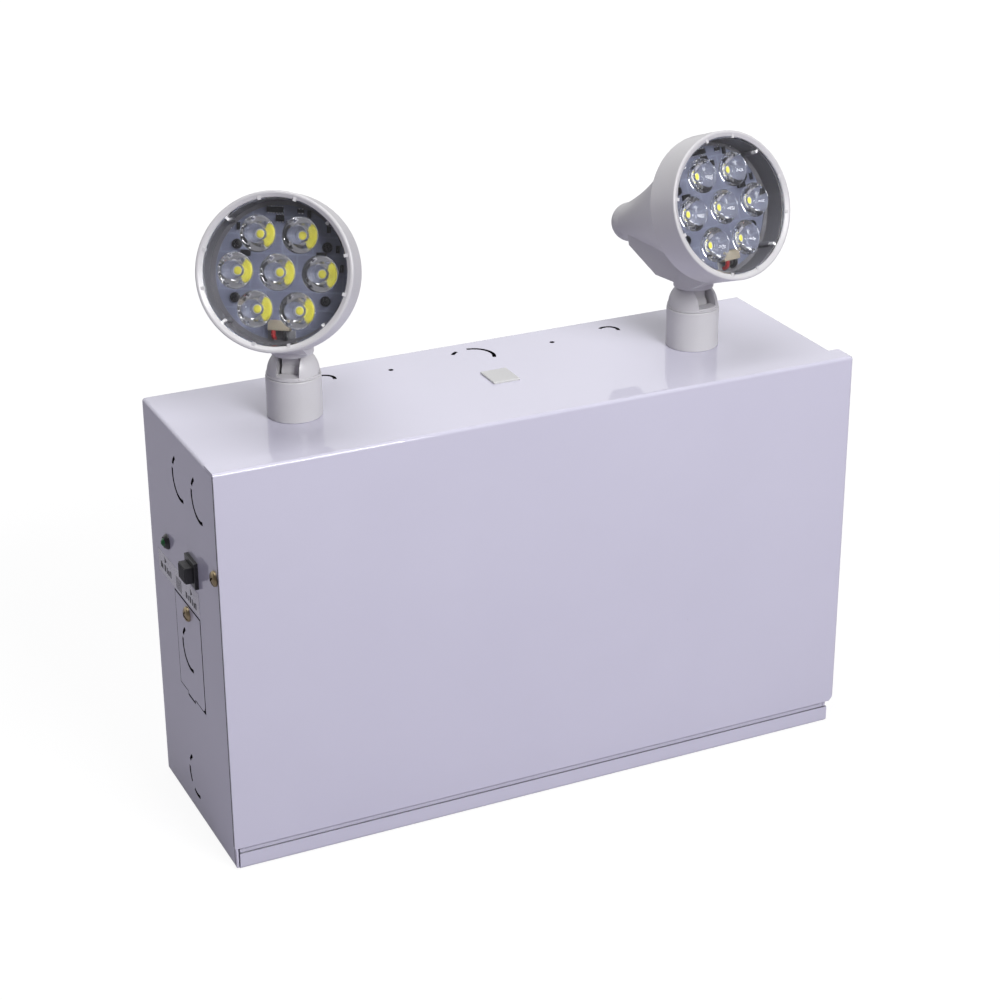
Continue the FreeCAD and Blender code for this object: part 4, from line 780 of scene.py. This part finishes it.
board_screw = turned("board_screw", [
    (0.001, -10), (1.0, -10), (1.4, -9.4), (1.4, 0), (2.5, 0), (2.5, 0.7), (2.35, 1.15), (1.95, 1.5),
    (1.3, 1.68), (0.001, 1.7),
], steps=32)
carved(board_screw, [
    block("arm", (-1.5, -0.35, 0.5), (1.5, 0.35, 2.4), 0.1, 1),
    block("arm", (-0.35, -1.5, 0.45), (0.35, 1.5, 2.4), 0.1, 1),
])
blackened = moulded(
    "blackened_steel", (0.005, 0.005, 0.006), (0.014, 0.014, 0.016), roughness=0.34, scale=1600.0,
)
blackened.node_tree.nodes["Principled BSDF"].inputs["Specular IOR Level"].default_value = 0.25
board_screw.data.materials.append(blackened)
for side in ("left", "right"):
    dress(shaded_board_mask(side), f"{side}_led_board")
    dress(red_pvc, f"{side}_lead_red")
    dress(black_pvc, f"{side}_lead_black")
    parts = copied(fitted, f"{side}_board_parts", in_head[side])
    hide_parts(f"{side}_board_chips")
    driven = []
    for n, angle in enumerate((30, 150, 210, 330)):
        spot = Vector((screw_ring * cos(radians(angle)), screw_ring * sin(radians(angle)), face)) * mm
        turn = Matrix.Rotation(radians(20 + 33 * n), 4, "Z")
        driven.append(copied(board_screw, "driven", in_head[side] @ Matrix.Translation(spot) @ turn))
    fixed = joined(f"{side}_blackened_screws", driven)
    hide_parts(f"{side}_board_screws")
    for piece in (parts, fixed):
        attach(piece, f"{side}_head")
bpy.data.objects.remove(fitted)
bpy.data.objects.remove(board_screw)


# LEDs and collimators
# Seven power LEDs on each board, a yellow phosphor dome on a grey ceramic base. Over each stands a clear
# acrylic collimator, moulded as a bowl with a well for the LED and a shallow dish in its front.
ceramic = moulded(
    "ceramic_base", (0.34, 0.34, 0.34), (0.46, 0.46, 0.45), roughness=0.30, scale=1200.0,
)
phosphor = moulded(
    "phosphor", (0.48, 0.43, 0.02), (0.62, 0.57, 0.05), roughness=0.5, scale=2200.0, depth=0.00002,
)
emitter = turned("emitter", [
    (0.001, 0), (2.5, 0), (2.5, 0.42), (2.4, 0.5), (1.95, 0.52), (1.92, 0.7), (1.8, 0.92), (1.45, 1.1),
    (0.9, 1.2), (0.001, 1.24),
], steps=40)
emitter.data.materials.append(ceramic)
emitter.data.materials.append(phosphor)
for polygon in emitter.data.polygons:
    polygon.material_index = 1 if polygon.center.z > 0.53 * mm else 0

acrylic = bpy.data.materials.new("clear_acrylic")
acrylic.use_nodes = True
tree = acrylic.node_tree
place = add_node(tree, "TexCoord").outputs["Object"]
flow = add_node(tree, "Group", {"Place": place, "Scale": 260.0}, node_tree=grain)
gloss = add_node(tree, "MapRange", {"Value": flow.outputs["Tone"], "To Min": 0.0, "To Max": 0.05})
relief = add_node(tree, "Bump", {"Height": flow.outputs["Height"], "Distance": 0.000002})
feed(tree, tree.nodes["Principled BSDF"], {
    "Base Color": (0.985, 0.99, 1.0, 1), "Roughness": gloss.outputs[0], "Normal": relief.outputs[0],
    "IOR": 1.49, "Transmission Weight": 1.0,
})
well = [
    (0.001, 2.7), (0.9, 2.74), (1.7, 2.84), (2.4, 3.0), (2.85, 3.14), (2.98, 3.15), (3.1, 1.8), (3.25, 0.1),
    (3.3, 0), (3.8, 0), (3.9, 0.1),
]
# The bowl's wall is a conic, and the dish's wall a straight cone down to a nearly flat floor
bowl_low, bowl_high, bowl_steps = 0.9, 7.3, 9
heights = [bowl_low + (bowl_high - bowl_low) * n / bowl_steps for n in range(bowl_steps + 1)]
bowl = [(sqrt(8.42 + 7.8 * z + 0.155 * z * z), z) for z in heights]
brim = [(8.75, 7.5), (8.9, 7.65), (8.9, 8.1), (8.75, 8.25), (8.4, 8.25), (7.7, 8.25), (7.2, 8.15)]
dish_wall = [(6.4 - 1.1 * n, 7.88 - 0.38 * n) for n in range(4)]
dish = brim + dish_wall + [(2.8, 6.62), (1.5, 6.58), (0.001, 6.56)]
collimator = turned("collimator", well + bowl + dish, steps=64)
collimator.data.materials.append(acrylic)
ring = 20.6
spots = [(0, 0)] + [(ring * cos(radians(a)), ring * sin(radians(a))) for a in range(0, 360, 60)]
for side in ("left", "right"):
    for model, node, name, slot_name in (
        (emitter, "emitters", "leds", "phosphor"), (collimator, "optics", "collimators", "clear_plastic"),
    ):
        row = [
            copied(model, name, in_head[side] @ Matrix.Translation(Vector((x, y, face)) * mm))
            for x, y in spots
        ]
        piece = joined(f"{side}_{name}", row)
        piece.visible_shadow = model is emitter
        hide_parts(f"{side}_{node}")
        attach(piece, f"{side}_head")
bpy.data.objects.remove(emitter)
bpy.data.objects.remove(collimator)


# Front lenses
# A flat disc of clear polycarbonate with softened edges, snapped in behind the rim's tabs. It has a little
# dust on it.
polycarbonate = bpy.data.materials.new("clear_polycarbonate")
polycarbonate.use_nodes = True
tree = polycarbonate.node_tree
place = add_node(tree, "TexCoord").outputs["Object"]
film = add_node(tree, "Group", {"Place": place, "Scale": 300.0}, node_tree=grain)
motes = add_node(tree, "Group", {
    "Place": place, "Scale": 140.0, "Size": 0.05, "Share": 0.3,
}, node_tree=specks)
haze = add_node(tree, "MapRange", {"Value": film.outputs["Tone"], "To Min": 0.0, "To Max": 0.04})
gloss = add_node(tree, "Math", {0: haze.outputs[0], 1: motes.outputs[0]}, operation="MAXIMUM")
feed(tree, tree.nodes["Principled BSDF"], {
    "Base Color": (0.975, 0.98, 0.99, 1), "Roughness": gloss.outputs[0], "IOR": 1.49,
    "Transmission Weight": 1.0,
})
pane = turned("pane", [
    (0.001, -3.2), (34.0, -3.2), (34.6, -3.2), (34.9, -2.9), (34.9, -1.5), (34.6, -1.2), (34.0, -1.2),
    (0.001, -1.2),
], steps=128)
pane.data.materials.append(polycarbonate)
for side in ("left", "right"):
    lens = copied(pane, f"{side}_front_lens", in_head[side])
    lens.visible_shadow = False
    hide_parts(f"{side}_lens")
    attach(lens, f"{side}_head")
bpy.data.objects.remove(pane)
